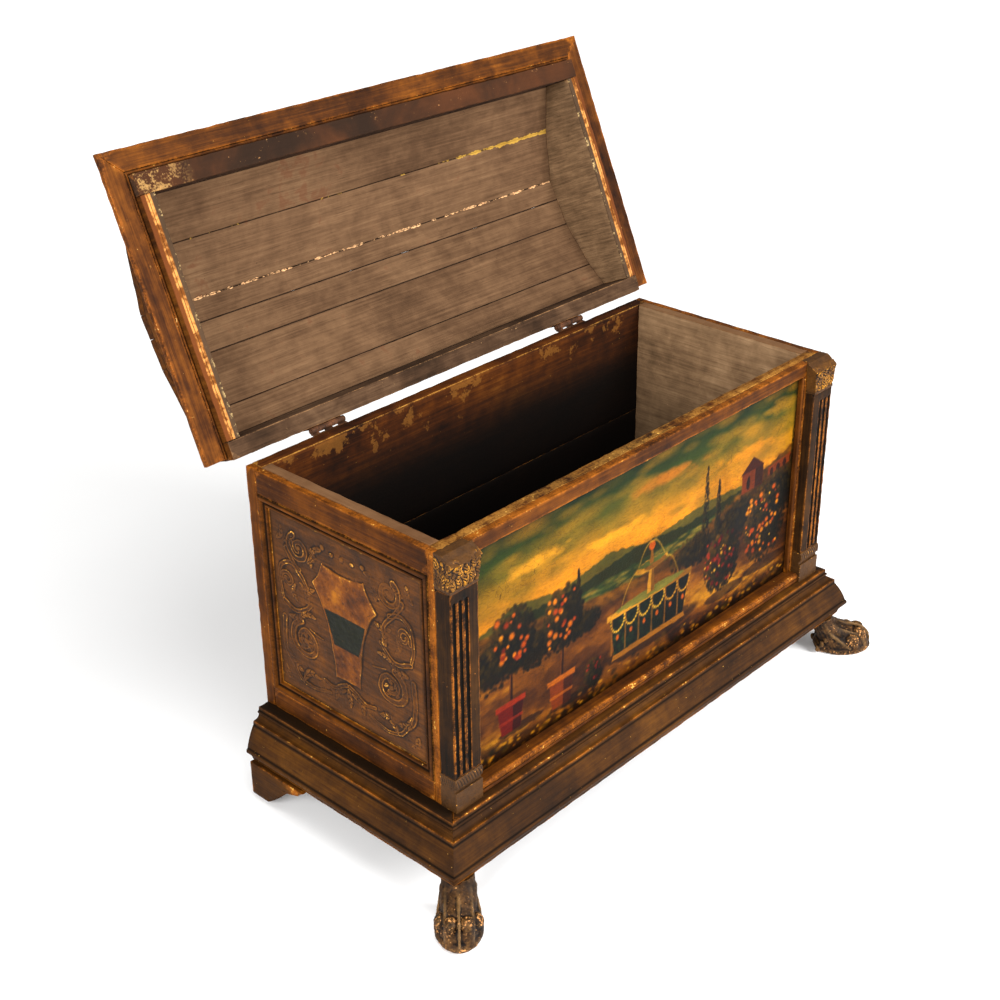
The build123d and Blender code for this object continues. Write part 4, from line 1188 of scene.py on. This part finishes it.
def ground_and_hedges(c, ratio):
    c.land([(0, 0.44), (0.3, 0.40), (0.7, 0.375), (1.1, 0.385), (1.5, 0.42), (1.9, 0.44), (ratio, 0.43)],
           ground_tones[1], 1.0, 0.03)

    def ground_at(random):
        u, v = random.uniform(0, ratio), random.uniform(0, 0.41)
        lit = 0.45 + 0.5 * math.sin(u * 4.1 + v * 9) * 0.5 + 0.25 * math.sin(v * 21 + u * 3)
        return u, v, lit - max(0.0, 0.10 - v) * 6

    c.dabs(2600, ground_at, 0.016, ground_tones, 0.5, 2.6, 0.08)
    c.land([(0, 0.10), (0.4, 0.055), (0.9, 0.03), (1.5, 0.045), (ratio, 0.09)], srgb(56, 38, 18), 0.75, 0.03)
    for cu, cv, ru, rv in ((0.10, 0.45, 0.16, 0.12), (0.34, 0.42, 0.16, 0.09), (0.62, 0.40, 0.12, 0.06),
                           (1.36, 0.42, 0.16, 0.08), (1.66, 0.45, 0.18, 0.11), (2.0, 0.46, 0.24, 0.12)):
        crown(c, cu, cv, ru, rv, leaf_tones, 260)


def cypress(c, cu, low, high, wide):
    def tall_leaf(random):
        t = random.uniform(0, 1)
        x = random.uniform(-1, 1)
        return cu + x * wide * (1 - t) ** 0.6, low + (high - low) * t, 0.35 - 0.3 * x

    c.dabs(190, tall_leaf, 0.010, leaf_tones, 0.85, 0.6)


def fountain(c):
    """A blue basin hung with pale swags, a stem and a bowl, with four falls of water."""
    c.oval(1.09, 0.135, 0.34, 0.055, srgb(50, 32, 16), 0.7)
    c.shape([(0.84, 0.14), (1.30, 0.14), (1.34, 0.33), (0.80, 0.33)], blue_tones[1])
    c.shape([(1.16, 0.14), (1.30, 0.14), (1.34, 0.33), (1.17, 0.33)], blue_tones[0], 0.8)

    def blue_touch(random):
        u = random.uniform(0.83, 1.16)
        return u, random.uniform(0.15, 0.32), 0.85 - (u - 0.83) * 1.6

    c.dabs(180, blue_touch, 0.012, blue_tones, 0.35)
    c.oblong(0.785, 0.325, 1.355, 0.352, cream_tones[2])
    c.oblong(1.16, 0.325, 1.355, 0.352, cream_tones[0], 0.6)
    bay = 0.089
    for k in range(6):
        u0 = 0.81 + k * bay
        for t in np.linspace(0, math.pi, 12):
            swag = (u0 + 0.0445 * (1 - math.cos(t)), 0.318 - 0.062 * math.sin(t))
            c.oval(*swag, 0.0085, 0.0085, cream_tones[3 - (k > 3)], 0.9, 0.6)
        c.oval(u0 + 0.0445, 0.225, 0.012, 0.018, orange_tones[2], 0.85, 0.5)
    for k in range(7):
        c.oblong(0.812 + k * bay, 0.15, 0.822 + k * bay, 0.325, cream_tones[1], 0.6)
    c.shape([(0.82, 0.118), (1.32, 0.118), (1.31, 0.145), (0.83, 0.145)], cream_tones[1])
    c.oval(1.07, 0.352, 0.245, 0.022, srgb(150, 160, 128), 0.9)
    c.shape([(1.045, 0.35), (1.095, 0.35), (1.085, 0.47), (1.055, 0.47)], cream_tones[2])
    c.shape([(1.072, 0.35), (1.095, 0.35), (1.085, 0.47), (1.07, 0.47)], cream_tones[0], 0.7)
    c.oval(1.07, 0.485, 0.115, 0.030, cream_tones[2])
    c.oval(1.10, 0.478, 0.080, 0.022, cream_tones[0], 0.7)
    c.oval(1.07, 0.497, 0.100, 0.013, srgb(120, 140, 118))
    c.shape([(1.058, 0.49), (1.082, 0.49), (1.078, 0.56), (1.062, 0.56)], cream_tones[1])
    c.oval(1.07, 0.575, 0.022, 0.026, orange_tones[2])
    for hand in (-1, 1):
        for t in np.linspace(0, 1, 22):
            inner_fall = (1.07 + hand * 0.085 * t, 0.595 - 0.10 * t * t + 0.012 * t)
            outer_fall = (1.07 + hand * (0.1 + 0.09 * t), 0.485 - 0.12 * t * t)
            c.oval(*inner_fall, 0.0055, 0.0075, cream_tones[3], 0.55, 0.8)
            c.oval(*outer_fall, 0.005, 0.0075, cream_tones[3], 0.45, 0.8)


def orange_tree(c, cu, low, high, ru, tub):
    """An orange tree that stands in a tub."""
    c.oval(cu + 0.06, low, 0.14, 0.022, srgb(48, 30, 14), 0.7)
    trunk(c, cu, low + 0.10, high + 0.05, 0.011, 0.01)
    crown(c, cu + 0.01, high + 0.12, ru, 0.15, leaf_tones, 420, 0.013)
    fruit(c, cu + 0.01, high + 0.12, ru * 0.75, 0.11, orange_tones, 26, 0.015)
    right_foot, right_rim = (cu + 0.055, low), (cu + 0.075, low + 0.13)
    c.shape([(cu - 0.055, low), right_foot, right_rim, (cu - 0.075, low + 0.13)], tub[2])
    c.shape([(cu + 0.01, low), right_foot, right_rim, (cu + 0.015, low + 0.13)], tub[0], 0.7)
    c.oblong(cu - 0.085, low + 0.12, cu + 0.085, low + 0.145, tub[3])
    c.shape([(cu - 0.068, low + 0.05), (cu + 0.068, low + 0.05), (cu + 0.070, low + 0.064),
             (cu - 0.070, low + 0.064)], tub[3], 0.6)


def rose_bush(c, cu, low, ru, rv, tones):
    c.oval(cu + 0.03, low - 0.02, ru * 1.2, 0.030, srgb(46, 28, 12), 0.7)
    crown(c, cu, low + rv, ru, rv, leaf_tones, 520, 0.012)
    fruit(c, cu - 0.02, low + rv * 1.1, ru * 0.8, rv * 0.8, tones, 46, 0.013)
    fruit(c, cu - 0.03, low + rv * 1.15, ru * 0.75, rv * 0.75, cream_tones, 12, 0.009)


def garden_scene(wide, tall, ratio):
    """A garden by a lake at evening: orange trees in tubs, a fountain, cypresses and far hills."""
    c = Canvas(wide, tall, ratio)
    evening_sky(c, ratio)
    lake_and_hills(c, ratio)
    chapel(c)
    ground_and_hedges(c, ratio)
    for cu, low, high, half in ((1.44, 0.40, 0.80, 0.030), (1.53, 0.42, 0.70, 0.026),
                                (2.10, 0.46, 0.92, 0.034), (0.60, 0.44, 0.66, 0.020)):
        cypress(c, cu, low, high, half)
    path = [(0.72, 0.02), (1.22, 0.02), (1.02, 0.40), (0.93, 0.40)]
    c.shape(path, ground_tones[2], 0.55, 0.03)
    fountain(c)
    orange_tree(c, 0.20, 0.10, 0.40, 0.135, red_tones)
    orange_tree(c, 0.50, 0.07, 0.36, 0.12, brick_tones)
    rose_bush(c, 1.58, 0.13, 0.13, 0.15, red_tones)
    rose_bush(c, 1.90, 0.15, 0.16, 0.19, orange_tones)
    crown(c, 0.70, 0.13, 0.06, 0.07, leaf_tones, 120, 0.010)
    fruit(c, 0.70, 0.14, 0.045, 0.05, red_tones, 12, 0.009)

    def stones(random):
        return random.uniform(0, ratio), abs(random.normal(0.03, 0.03)), random.uniform(0.2, 1)

    c.dabs(160, stones, 0.010, ground_tones, 0.7, 1.8)
    c.dabs(70, stones, 0.016, leaf_tones, 0.6, 1.4)
    old = np.clip(c.cloud(14, 0.5) + 0.5, 0, 1)[..., None]
    return c.colour * (0.88 + 0.24 * old)


def painted_front():
    node = "painted_panel"
    low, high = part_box(node)
    across, up = high.x - low.x, high.z - low.z
    step, thickness = 1.75 * mm, 5.0 * mm
    bm = open_grid(across, up, step, thickness)
    u, v, face = face_points(bm)
    wide, tall = int(across / step) + 1, int(up / step) + 1
    garden = garden_scene(wide, tall, across / up)
    column = np.clip(np.round(u * mm / across * (wide - 1)).astype(int), 0, wide - 1)
    row = np.clip(np.round(v * mm / up * (tall - 1)).astype(int), 0, tall - 1)
    flat = points_of(bm)
    raise_face(bm, wander(flat, 0.22, 12, 1.0) + wander(flat, 0.10, 90, 6.0), face)
    for vert in bm.verts:
        across_here, up_here, out = vert.co
        vert.co = Vector((low.x + across_here, low.y - out, low.z + up_here))
    edge = np.minimum.reduce([u, v, across / mm - u, up / mm - v]) * mm
    piece = make_piece(bm, "painted_panel_picture", [node], paint_finish(), {"edge": edge}, 60)
    paint = piece.data.color_attributes.new("paint", "FLOAT_COLOR", "POINT")
    colours = np.column_stack([garden[row, column], np.ones(len(u))])
    paint.data.foreach_set("color", colours.astype(np.float32).ravel())


def paint_finish():
    finish = Finish("old_oil_paint")
    paint = finish.painted("paint")
    edge = finish.read_mm("edge")
    weave = finish.cloud(1.0, 4, 0.6, 0.2, finish.stretched((90, 90, 330)))
    strokes = finish.cloud(1.0, 3, 0.6, 0.8, finish.stretched((160, 160, 520)))
    mottle = finish.cloud(11.0, 5, 0.6, 0.4)
    fine = finish.cloud(520.0, 3, 0.65)
    crackle = finish.cells(95.0, None, "DISTANCE_TO_EDGE")
    crack = (1.0 - finish.between(crackle, 0.0, 0.028)) * finish.between(mottle, 0.42, 0.6)
    brush_marks = finish.tones(strokes * 0.6 + weave * 0.4, [
        (0.3, (0.72, 0.70, 0.66)), (0.5, (1.0, 1.0, 1.0)), (0.7, (1.16, 1.12, 1.04))])
    colour = finish.mix(1.0, paint, brush_marks, "MULTIPLY")
    colour = finish.mix(1.0, colour, (1.0, 0.80, 0.52), "MULTIPLY")
    colour = finish.mix(finish.between(mottle, 0.52, 0.72) * 0.22, colour, (0.10, 0.055, 0.015))
    colour = finish.mix(crack * 0.5, colour, (0.03, 0.018, 0.008))
    rubbed = finish.between(fine * 0.5 + weave * 0.5, 0.64, 0.68) * 0.35
    colour = finish.mix(rubbed, colour, (0.20, 0.10, 0.035))
    # Painted shade, with some soiling, along the edges of the picture by its frame.
    grime_and_shade = 1.0 - finish.between(edge, 0.0, mottle * 16.0 + 2.0)
    colour = finish.mix(grime_and_shade * 0.7, colour, (0.035, 0.018, 0.007))
    height = strokes * 0.5 + weave * 0.3 + fine * 0.15 - crack * 0.6
    rough = (0.30 + mottle * 0.22 + fine * 0.12 + rubbed * 0.4).clamped()
    return finish.close(colour, rough, finish.bump(height, 0.16 * mm), 0.05, None, 1.5, 0.41)


painted_front()

# ---------------------------------------------------------------- which wood goes where

def level_of(name, end):
    """Height of a lid board's lowest or highest point with the lid shut."""
    heights = [(shut @ v.co).z for v in nodes[name].data.vertices]
    return min(heights) if end < 0 else max(heights)


lid_base = level_of("lid_front_board", -1)
end_board_points = [shut @ v.co for v in nodes["left_lid_end_board"].data.vertices]
vault_middle = sum(point.y for point in end_board_points) / len(end_board_points)
lid_half = max(abs(point.x) for point in end_board_points)
rim_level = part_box("front_board")[1].z
plinth_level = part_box("left_plinth_end_moulding")[1].z


def under_edge(finish, reach=3.0):
    """1 on the faces that meet the chest's rim, 0 above them."""
    height = (finish.along("Z") - lid_base) * in_mm
    return 1.0 - finish.between(height, 0.6, reach)


def outer_stain(finish, maps):
    """The stained wood of the lid's outside."""
    depth = (maps["mottle"] * 0.5 + maps["grain"] * 0.5 - 0.5) * 1.3 + 0.5
    return finish.tones(depth.clamped(), brown_tones)


def stained_outside(finish, colour, maps):
    return finish.mix(finish.read("outer"), colour, outer_stain(finish, maps))


def turned_normals(bm):
    """Which way the surface of a lid board faces at each of its points."""
    bm.normal_update()
    return np.array([v.normal for v in bm.verts]) @ np.array(shut.to_3x3()).T


def lid_board_values(bm, points):
    """1 on the faces of a lid board that look outwards, 0 on the others."""
    normals = turned_normals(bm)
    ends = normals[:, 0] * np.sign(points[:, 0])
    sides = normals[:, 1] * np.sign(points[:, 1] - vault_middle)
    return {"outer": np.clip(np.maximum(ends, sides) * 4 - 1, 0, 1)}


def end_rail_colours(finish, colour, maps):
    """Reddish groove, bright bead and grey inner edge along the foot of the lid's end boards."""
    inwards = (lid_half - finish.along("X").size()) * in_mm + (maps["blotch"] - 0.5) * 2.0
    low = under_edge(finish)
    groove = finish.mix(maps["mottle"], (0.11, 0.038, 0.012), (0.22, 0.085, 0.028))
    bright = finish.between(maps["blotch"] * 0.5 + maps["grain"] * 0.5, 0.42, 0.56)
    bead = finish.mix(bright, (0.20, 0.078, 0.018), (0.58, 0.30, 0.11))
    scratch = 1.0 - finish.between((inwards - 10.6).size(), 0.3, 0.9)
    bead = finish.mix(scratch * 0.8, bead, (0.09, 0.035, 0.012))
    grey = finish.mix(maps["mottle"], (0.050, 0.032, 0.021), (0.15, 0.095, 0.060))
    strip = finish.mix(finish.between(inwards, 6.0, 8.0), groove, bead)
    strip = finish.mix(finish.between(inwards, 14.5, 16.5), strip, grey)
    flake = finish.between(inwards, 17.0, 26.0)
    flake = flake * finish.between(maps["blotch"] * 0.6 + maps["specks"] * 0.4, 0.53, 0.58)
    strip = finish.mix(flake * 0.9, strip, (0.64, 0.48, 0.26))
    return finish.mix(low, stained_outside(finish, colour, maps), strip)


def front_rail_colours(finish, colour, maps):
    """Dark foot of the lid's front board, with a yellowish worn patch by its left corner."""
    low = under_edge(finish)
    dark = finish.mix(finish.between(maps["mottle"], 0.35, 0.65), (0.040, 0.023, 0.015), (0.11, 0.046, 0.020))
    left = 1.0 - finish.between(finish.along_mm("X"), -408.0, -352.0)
    patch = left * finish.between(maps["blotch"] * 0.6 + maps["specks"] * 0.4, 0.50, 0.58)
    dark = finish.mix(patch * 0.8, dark, (0.42, 0.27, 0.12))
    flake = finish.between(maps["blotch"] * 0.55 + maps["specks"] * 0.45, 0.625, 0.65)
    dark = finish.mix(flake * 0.6, dark, (0.50, 0.28, 0.13))
    return finish.mix(low * 0.92, colour, dark)


def seam_colours(finish, colour, maps):
    """Dirt in the joints between the lid's boards, flaked whiting along one and a yellow crack in another."""
    colour = stained_outside(finish, colour, maps)
    dirt = (1.0 - finish.between(maps["arris"], 0.2, 1.3)) * 0.85 * (1.0 - finish.read("butt"))
    colour = finish.mix(dirt, colour, (0.018, 0.010, 0.006))
    stain = finish.between(maps["mottle"] * 0.5 + maps["blotch"] * 0.5, 0.58, 0.66)
    colour = finish.mix(stain * 0.45, colour, (0.13, 0.050, 0.026))
    broad = finish.cloud(48.0, 3, 0.75)
    ridge = finish.read_mm("ridge")
    flake = finish.between((broad - 0.41) * 11.0 - ridge, 0.0, 0.6)
    flake = flake * finish.between(maps["specks"], 0.38, 0.48)
    whiting = finish.mix(maps["specks"], (0.50, 0.22, 0.075), (0.80, 0.60, 0.40))
    colour = finish.mix(flake, colour, whiting)
    crack = finish.read_mm("crack")
    far = finish.between(finish.along_mm("X"), 20.0, 330.0)
    yellow = finish.between((broad - 0.46) * 13.0 + far * 3.6 - 1.3 - crack, 0.0, 0.8)
    filler = finish.mix(maps["blotch"], (0.26, 0.15, 0.022), (0.64, 0.43, 0.12))
    return finish.mix(yellow * 0.9, colour, filler)


seam_reach = 2.5 * mm


def shared_seam(first, second):
    """A point on the inner edge where two of the lid's boards meet, with the lid shut."""
    def corners(node):
        bm = bmesh.new()
        bm.from_mesh(nodes[node].data)
        bmesh.ops.transform(bm, matrix=shut, verts=bm.verts)
        bmesh.ops.remove_doubles(bm, verts=bm.verts, dist=same_place)
        places = [(round(v.co.y, 4), round(v.co.z, 4)) for v in bm.verts]
        bm.free()
        return sorted(set(places))

    near = [(z, y) for y, z in corners(first) for y2, z2 in corners(second)
            if math.hypot(y - y2, z - z2) < seam_reach]
    return min(near) if near else (0.0, 0.0)


seams = [shared_seam("lid_stave_1", "lid_stave_2"), shared_seam("lid_stave_2", "lid_stave_3")]


def stave_values(bm, points):
    """How far each point is from the cracked joint and the flaked one, and which lie outside or at an end."""
    crack, ridge = (np.hypot(points[:, 1] - y, points[:, 2] - z) for z, y in seams)
    normals = turned_normals(bm)
    centre = np.array([0.0, vault_middle, lid_base])
    out = points - centre
    out[:, 0] = 0
    out /= np.linalg.norm(out, axis=1)[:, None]
    outer = np.clip((normals * out).sum(1) * 4 - 0.6, 0, 1)
    butt = np.clip(np.abs(normals[:, 0]) * 4 - 2, 0, 1)
    return {"crack": crack, "ridge": ridge, "outer": np.maximum(outer, butt), "butt": butt}


darkest_depth = 240 * mm


def inside_values(bm, points):
    """How deep inside the chest each point lies: 0 at the rim or outside, 1 near the floor."""
    back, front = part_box("back_board_upper")[0].y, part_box("front_board")[1].y
    half = max(abs(c.x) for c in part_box("floor_board_front"))
    inside = (points[:, 1] > front - mm) & (points[:, 1] < back + mm) & (np.abs(points[:, 0]) < half + mm)
    return {"deep": np.clip((rim_level - points[:, 2]) / darkest_depth, 0, 1) * inside}


def cave_colours(finish, colour, maps):
    """Bare worn patches by the rim, and painted shade that deepens further down."""
    deep = finish.read("deep")
    torn = finish.between(finish.cloud(22.0, 5, 0.7) - deep * 0.55, 0.52, 0.56)
    torn = torn * finish.between(deep, 0.001, 0.02)
    pale = finish.mix(maps["specks"], (0.17, 0.085, 0.040), (0.30, 0.16, 0.078))
    colour = finish.mix(torn * 0.5, colour, pale)
    # Painted shade deep inside the chest, near black lower down.
    dark = finish.between(deep + (maps["mottle"] - 0.5) * 0.35, 0.06, 0.52)
    return finish.mix(dark * 0.95, colour, (0.007, 0.0035, 0.0015))


def inside_end_colours(finish, colour, maps):
    """Stain along the top edge of an end board, and shade low down inside."""
    rim = rim_level * in_mm
    top = finish.between(finish.along_mm("Z"), rim - 2.0, rim - 0.8)
    colour = finish.mix(top * 0.7, colour, (0.12, 0.058, 0.026))
    dark = finish.between(finish.read("deep") + (maps["mottle"] - 0.5) * 0.3, 0.3, 1.0)
    return finish.mix(dark * 0.5, colour, (0.014, 0.008, 0.005))


def ledge_colours(finish, colour, maps):
    """Painted shade and soiling along the ledge where the plinth meets the carcass."""
    height = finish.along_mm("Z") + (maps["blotch"] - 0.5) * 1.5
    top = plinth_level * in_mm
    # Painted shade, with some soiling, on the ledge under the side frame.
    ledge = finish.between(height, top - 1.6, top - 0.6)
    return finish.mix(ledge * 0.8, colour, (0.020, 0.011, 0.006))


def flute_values(bm, points):
    """How far back each point of a fluted face lies."""
    front = points[:, 1].min()
    facing = np.array([abs(v.normal.x) < 0.97 for v in bm.verts])
    return {"sunk": np.clip(points[:, 1] - front, 0, 0.01) * facing}


def flute_colours(finish, colour, maps):
    """Darkness in the flutes."""
    sunk = finish.read_mm("sunk")
    return finish.mix(finish.between(sunk, 0.05, 0.9) * 0.94, colour, (0.010, 0.0065, 0.004))


bead_tones = shades((0.034, 0.014, 0.003), (0.092, 0.038, 0.007), (0.155, 0.064, 0.012), (0.25, 0.115, 0.026))


def finish_for(node):
    """The finish of a piece, and the further values that it reads."""
    plain = node.replace("left_", "").replace("right_", "")
    if plain == "lid_front_moulding":
        return wood("lid_front_moulding", shaded_front_lid_tones, orange_rub, "X", True, rub=8, chips=1.6), None
    if plain == "lid_end_moulding":
        return wood("lid_moulding", lid_tones, orange_rub, "Y", True, rub=9, chips=2.2, contrast=1.6,
                    gain=1.5, amber=(1.0, 1.06, 0.8)), None
    if plain.startswith("lid_stave"):
        return wood("lid_staves", inner_tones, seam_dark, "X", True, gloss=0.1, grain_depth=0.5, rub=3,
                    chips=0.0, dirt=3.0, extra=seam_colours, contrast=1.0, cloudy=0.36,
                    chip_colour=seam_dark, **bare), stave_values
    if plain == "lid_end_board":
        return wood("lid_ends", inside_end_tones, tan_rub, "Z", True, gloss=0.15, grain_depth=0.4, rub=4,
                    chips=1.2, extra=end_rail_colours, contrast=1.2, cloudy=0.25, **bare), lid_board_values
    if plain == "lid_front_board":
        return wood("lid_front_board", grey_tones, orange_rub, "X", True, gloss=0.15, rub=5, chips=2.2,
                    chip_share=0.54, extra=front_rail_colours, **bare), None
    if is_turned(node):
        return wood("lid_boards", rear_lid_tones, tan_rub, "X", True, gloss=0.1, grain_depth=0.4, rub=3,
                    chips=1.2, extra=stained_outside, **bare), lid_board_values
    if plain == "end_board":
        return wood("inside_end", inside_end_tones, tan_rub, "Y", gloss=0.15, grain_depth=0.4, rub=4,
                    chips=1.6, extra=inside_end_colours, deepen=1.3, gain=1.08,
                    amber=(1.0, 1.0, 0.92)), inside_values
    if plain in ("front_board", "back_board_upper", "back_board_lower"):
        return wood("inside", cave_tones, tan_rub, "X", gloss=0.35, grain_depth=0.4, rub=4, chips=1.6,
                    extra=cave_colours), inside_values
    if plain.startswith("floor_board"):
        return wood("floor_boards", cave_tones, tan_rub, "X", gloss=0.1, extra=cave_colours), inside_values
    if plain.startswith(("plinth_back", "plinth_glue", "paw_dowels")):
        return wood("plain_boards", cave_tones, tan_rub, "X", gloss=0.1), None
    if "plinth" in plain:
        if "end" in plain:
            return wood("plinth_end", plinth_tones, orange_rub, "Y", rub=7, chips=2.0,
                        extra=ledge_colours), None
        return wood("plinth", plinth_tones, orange_rub, "X", rub=7, chips=2.2), None
    if "bracket" in plain:
        return wood("plinth", plinth_tones, orange_rub, "Y", rub=7, chips=1.8), None
    if "pilaster" in plain:
        return wood("pilaster", dark_tones, orange_rub, "Z", rub=5, chips=1.3, chip_colour=(0.52, 0.24, 0.09),
                    extra=flute_colours), flute_values
    if plain == "end_bead_moulding":
        return wood("bead", bead_tones, (0.42, 0.20, 0.070), "Y", rub=4, rub_share=0.8, chips=1.6), None
    if plain in ("end_front_stile", "end_rear_stile", "front_stile"):
        return wood("frame", brown_tones, orange_rub, "Z", rub=7, chips=2.0), None
    lengthwise = "X" if plain.startswith("front_") else "Y"
    return wood("frame", brown_tones, orange_rub, lengthwise, rub=7, chips=2.0), None


iron_finish = iron()
special = {name for name in nodes if nodes[name].hide_render}
for node_name in sorted(nodes):
    if node_name in special:
        continue
    if "hinge" in node_name:
        nodes[node_name].data.materials.clear()
        nodes[node_name].data.materials.append(iron_finish)
    else:
        finish_made, further = finish_for(node_name)
        worn(node_name, finish_made, step=6.0 if "shaft" in node_name else 12.0,
             rounding=0.5 if "stave" in node_name else 1.1, more=further)

# ---------------------------------------------------------------- floor, light and camera

floor_half = 90.0
floor_drop = 0.5 * mm
shaded_glow, open_glow = (0.06, 0.06, 0.06), (0.72, 0.72, 0.72)

floor_finish = Finish("pale_floor")
floor_tone = floor_finish.mix(floor_finish.cloud(2.0), (0.86, 0.86, 0.86), (0.88, 0.88, 0.88))
floor_rough = floor_finish.cloud(3.0) * 0.1 + 0.85
floor_normal = floor_finish.bump(floor_finish.cloud(40.0), 0.01 * mm)
floor_finish.close(floor_tone, floor_rough, floor_normal, 0.1, deepen=1.0, gain=1.0, amber=(1.0, 1.0, 1.0))
# The floor glows, which is painted light: dimmer within half a metre of the chest, as painted shade round it, then
# bright, and dim again far off.
far = floor_finish.sum("SQRT", floor_finish.along("X") ** 2.0 + floor_finish.along("Y") ** 2.0)
glow = floor_finish.mix(floor_finish.between(far, 0.5, 4.0), shaded_glow, open_glow)
glow = floor_finish.mix(floor_finish.between(far, 9.0, 30.0), glow, shaded_glow)
floor_finish.tree.links.new(glow.socket, floor_finish.shader.inputs["Emission Color"])
floor_finish.shader.inputs["Emission Strength"].default_value = 1.0
bm = bmesh.new()
bmesh.ops.create_grid(bm, x_segments=2, y_segments=2, size=floor_half)
floor_mesh = bpy.data.meshes.new("floor")
bm.to_mesh(floor_mesh)
bm.free()
floor = bpy.data.objects.new("floor", floor_mesh)
floor.location = (0, 0, -floor_drop)
floor_mesh.materials.append(floor_finish.material)
bpy.context.scene.collection.objects.link(floor)

world = bpy.data.worlds.new("studio")
bpy.context.scene.world = world
world.use_nodes = True
sky = world.node_tree.nodes["Background"]
sky.inputs["Color"].default_value = (1.0, 0.99, 0.97, 1)
sky.inputs["Strength"].default_value = 0.45
bpy.context.scene.view_settings.view_transform = "Standard"


def softbox(name, place, aim, width, power):
    """A square lamp of a width in metres and a power in watts, turned to face its aim."""
    lamp = bpy.data.lights.new(name, "AREA")
    lamp.shape = "SQUARE"
    lamp.size = width
    lamp.energy = power
    box = bpy.data.objects.new(name, lamp)
    box.location = place
    box.rotation_euler = (Vector(aim) - Vector(place)).to_track_quat("-Z", "Y").to_euler()
    bpy.context.scene.collection.objects.link(box)


softbox("front_light", place=(0.9, -2.8, 1.7), aim=(0.0, 0.0, 0.35), width=1.4, power=190)
softbox("side_light", place=(-2.7, -0.7, 1.5), aim=(0.0, 0.0, 0.4), width=1.4, power=92)
softbox("top_light", place=(-0.5, -0.9, 3.0), aim=(0.0, 0.05, 0.5), width=1.6, power=60)

view_azimuth = math.radians(-46.79)
view_elevation = math.radians(27.75)
view_roll = math.radians(-0.67)
view_distance = 2.5119
view_target = Vector((-0.0433, 0.0250, 0.3814))
lens = 57.96

camera_data = bpy.data.cameras.new("camera")
camera_data.lens = lens
camera_data.sensor_width = 36.0
camera = bpy.data.objects.new("camera", camera_data)
ahead = Vector((
    -math.sin(view_azimuth) * math.cos(view_elevation),
    math.cos(view_azimuth) * math.cos(view_elevation),
    -math.sin(view_elevation),
))
camera.location = view_target - ahead * view_distance
camera.rotation_mode = "QUATERNION"
roll = Matrix.Rotation(view_roll, 3, "Z").to_quaternion()
camera.rotation_quaternion = ahead.to_track_quat("-Z", "Y") @ roll
bpy.context.scene.collection.objects.link(camera)
bpy.context.scene.camera = camera
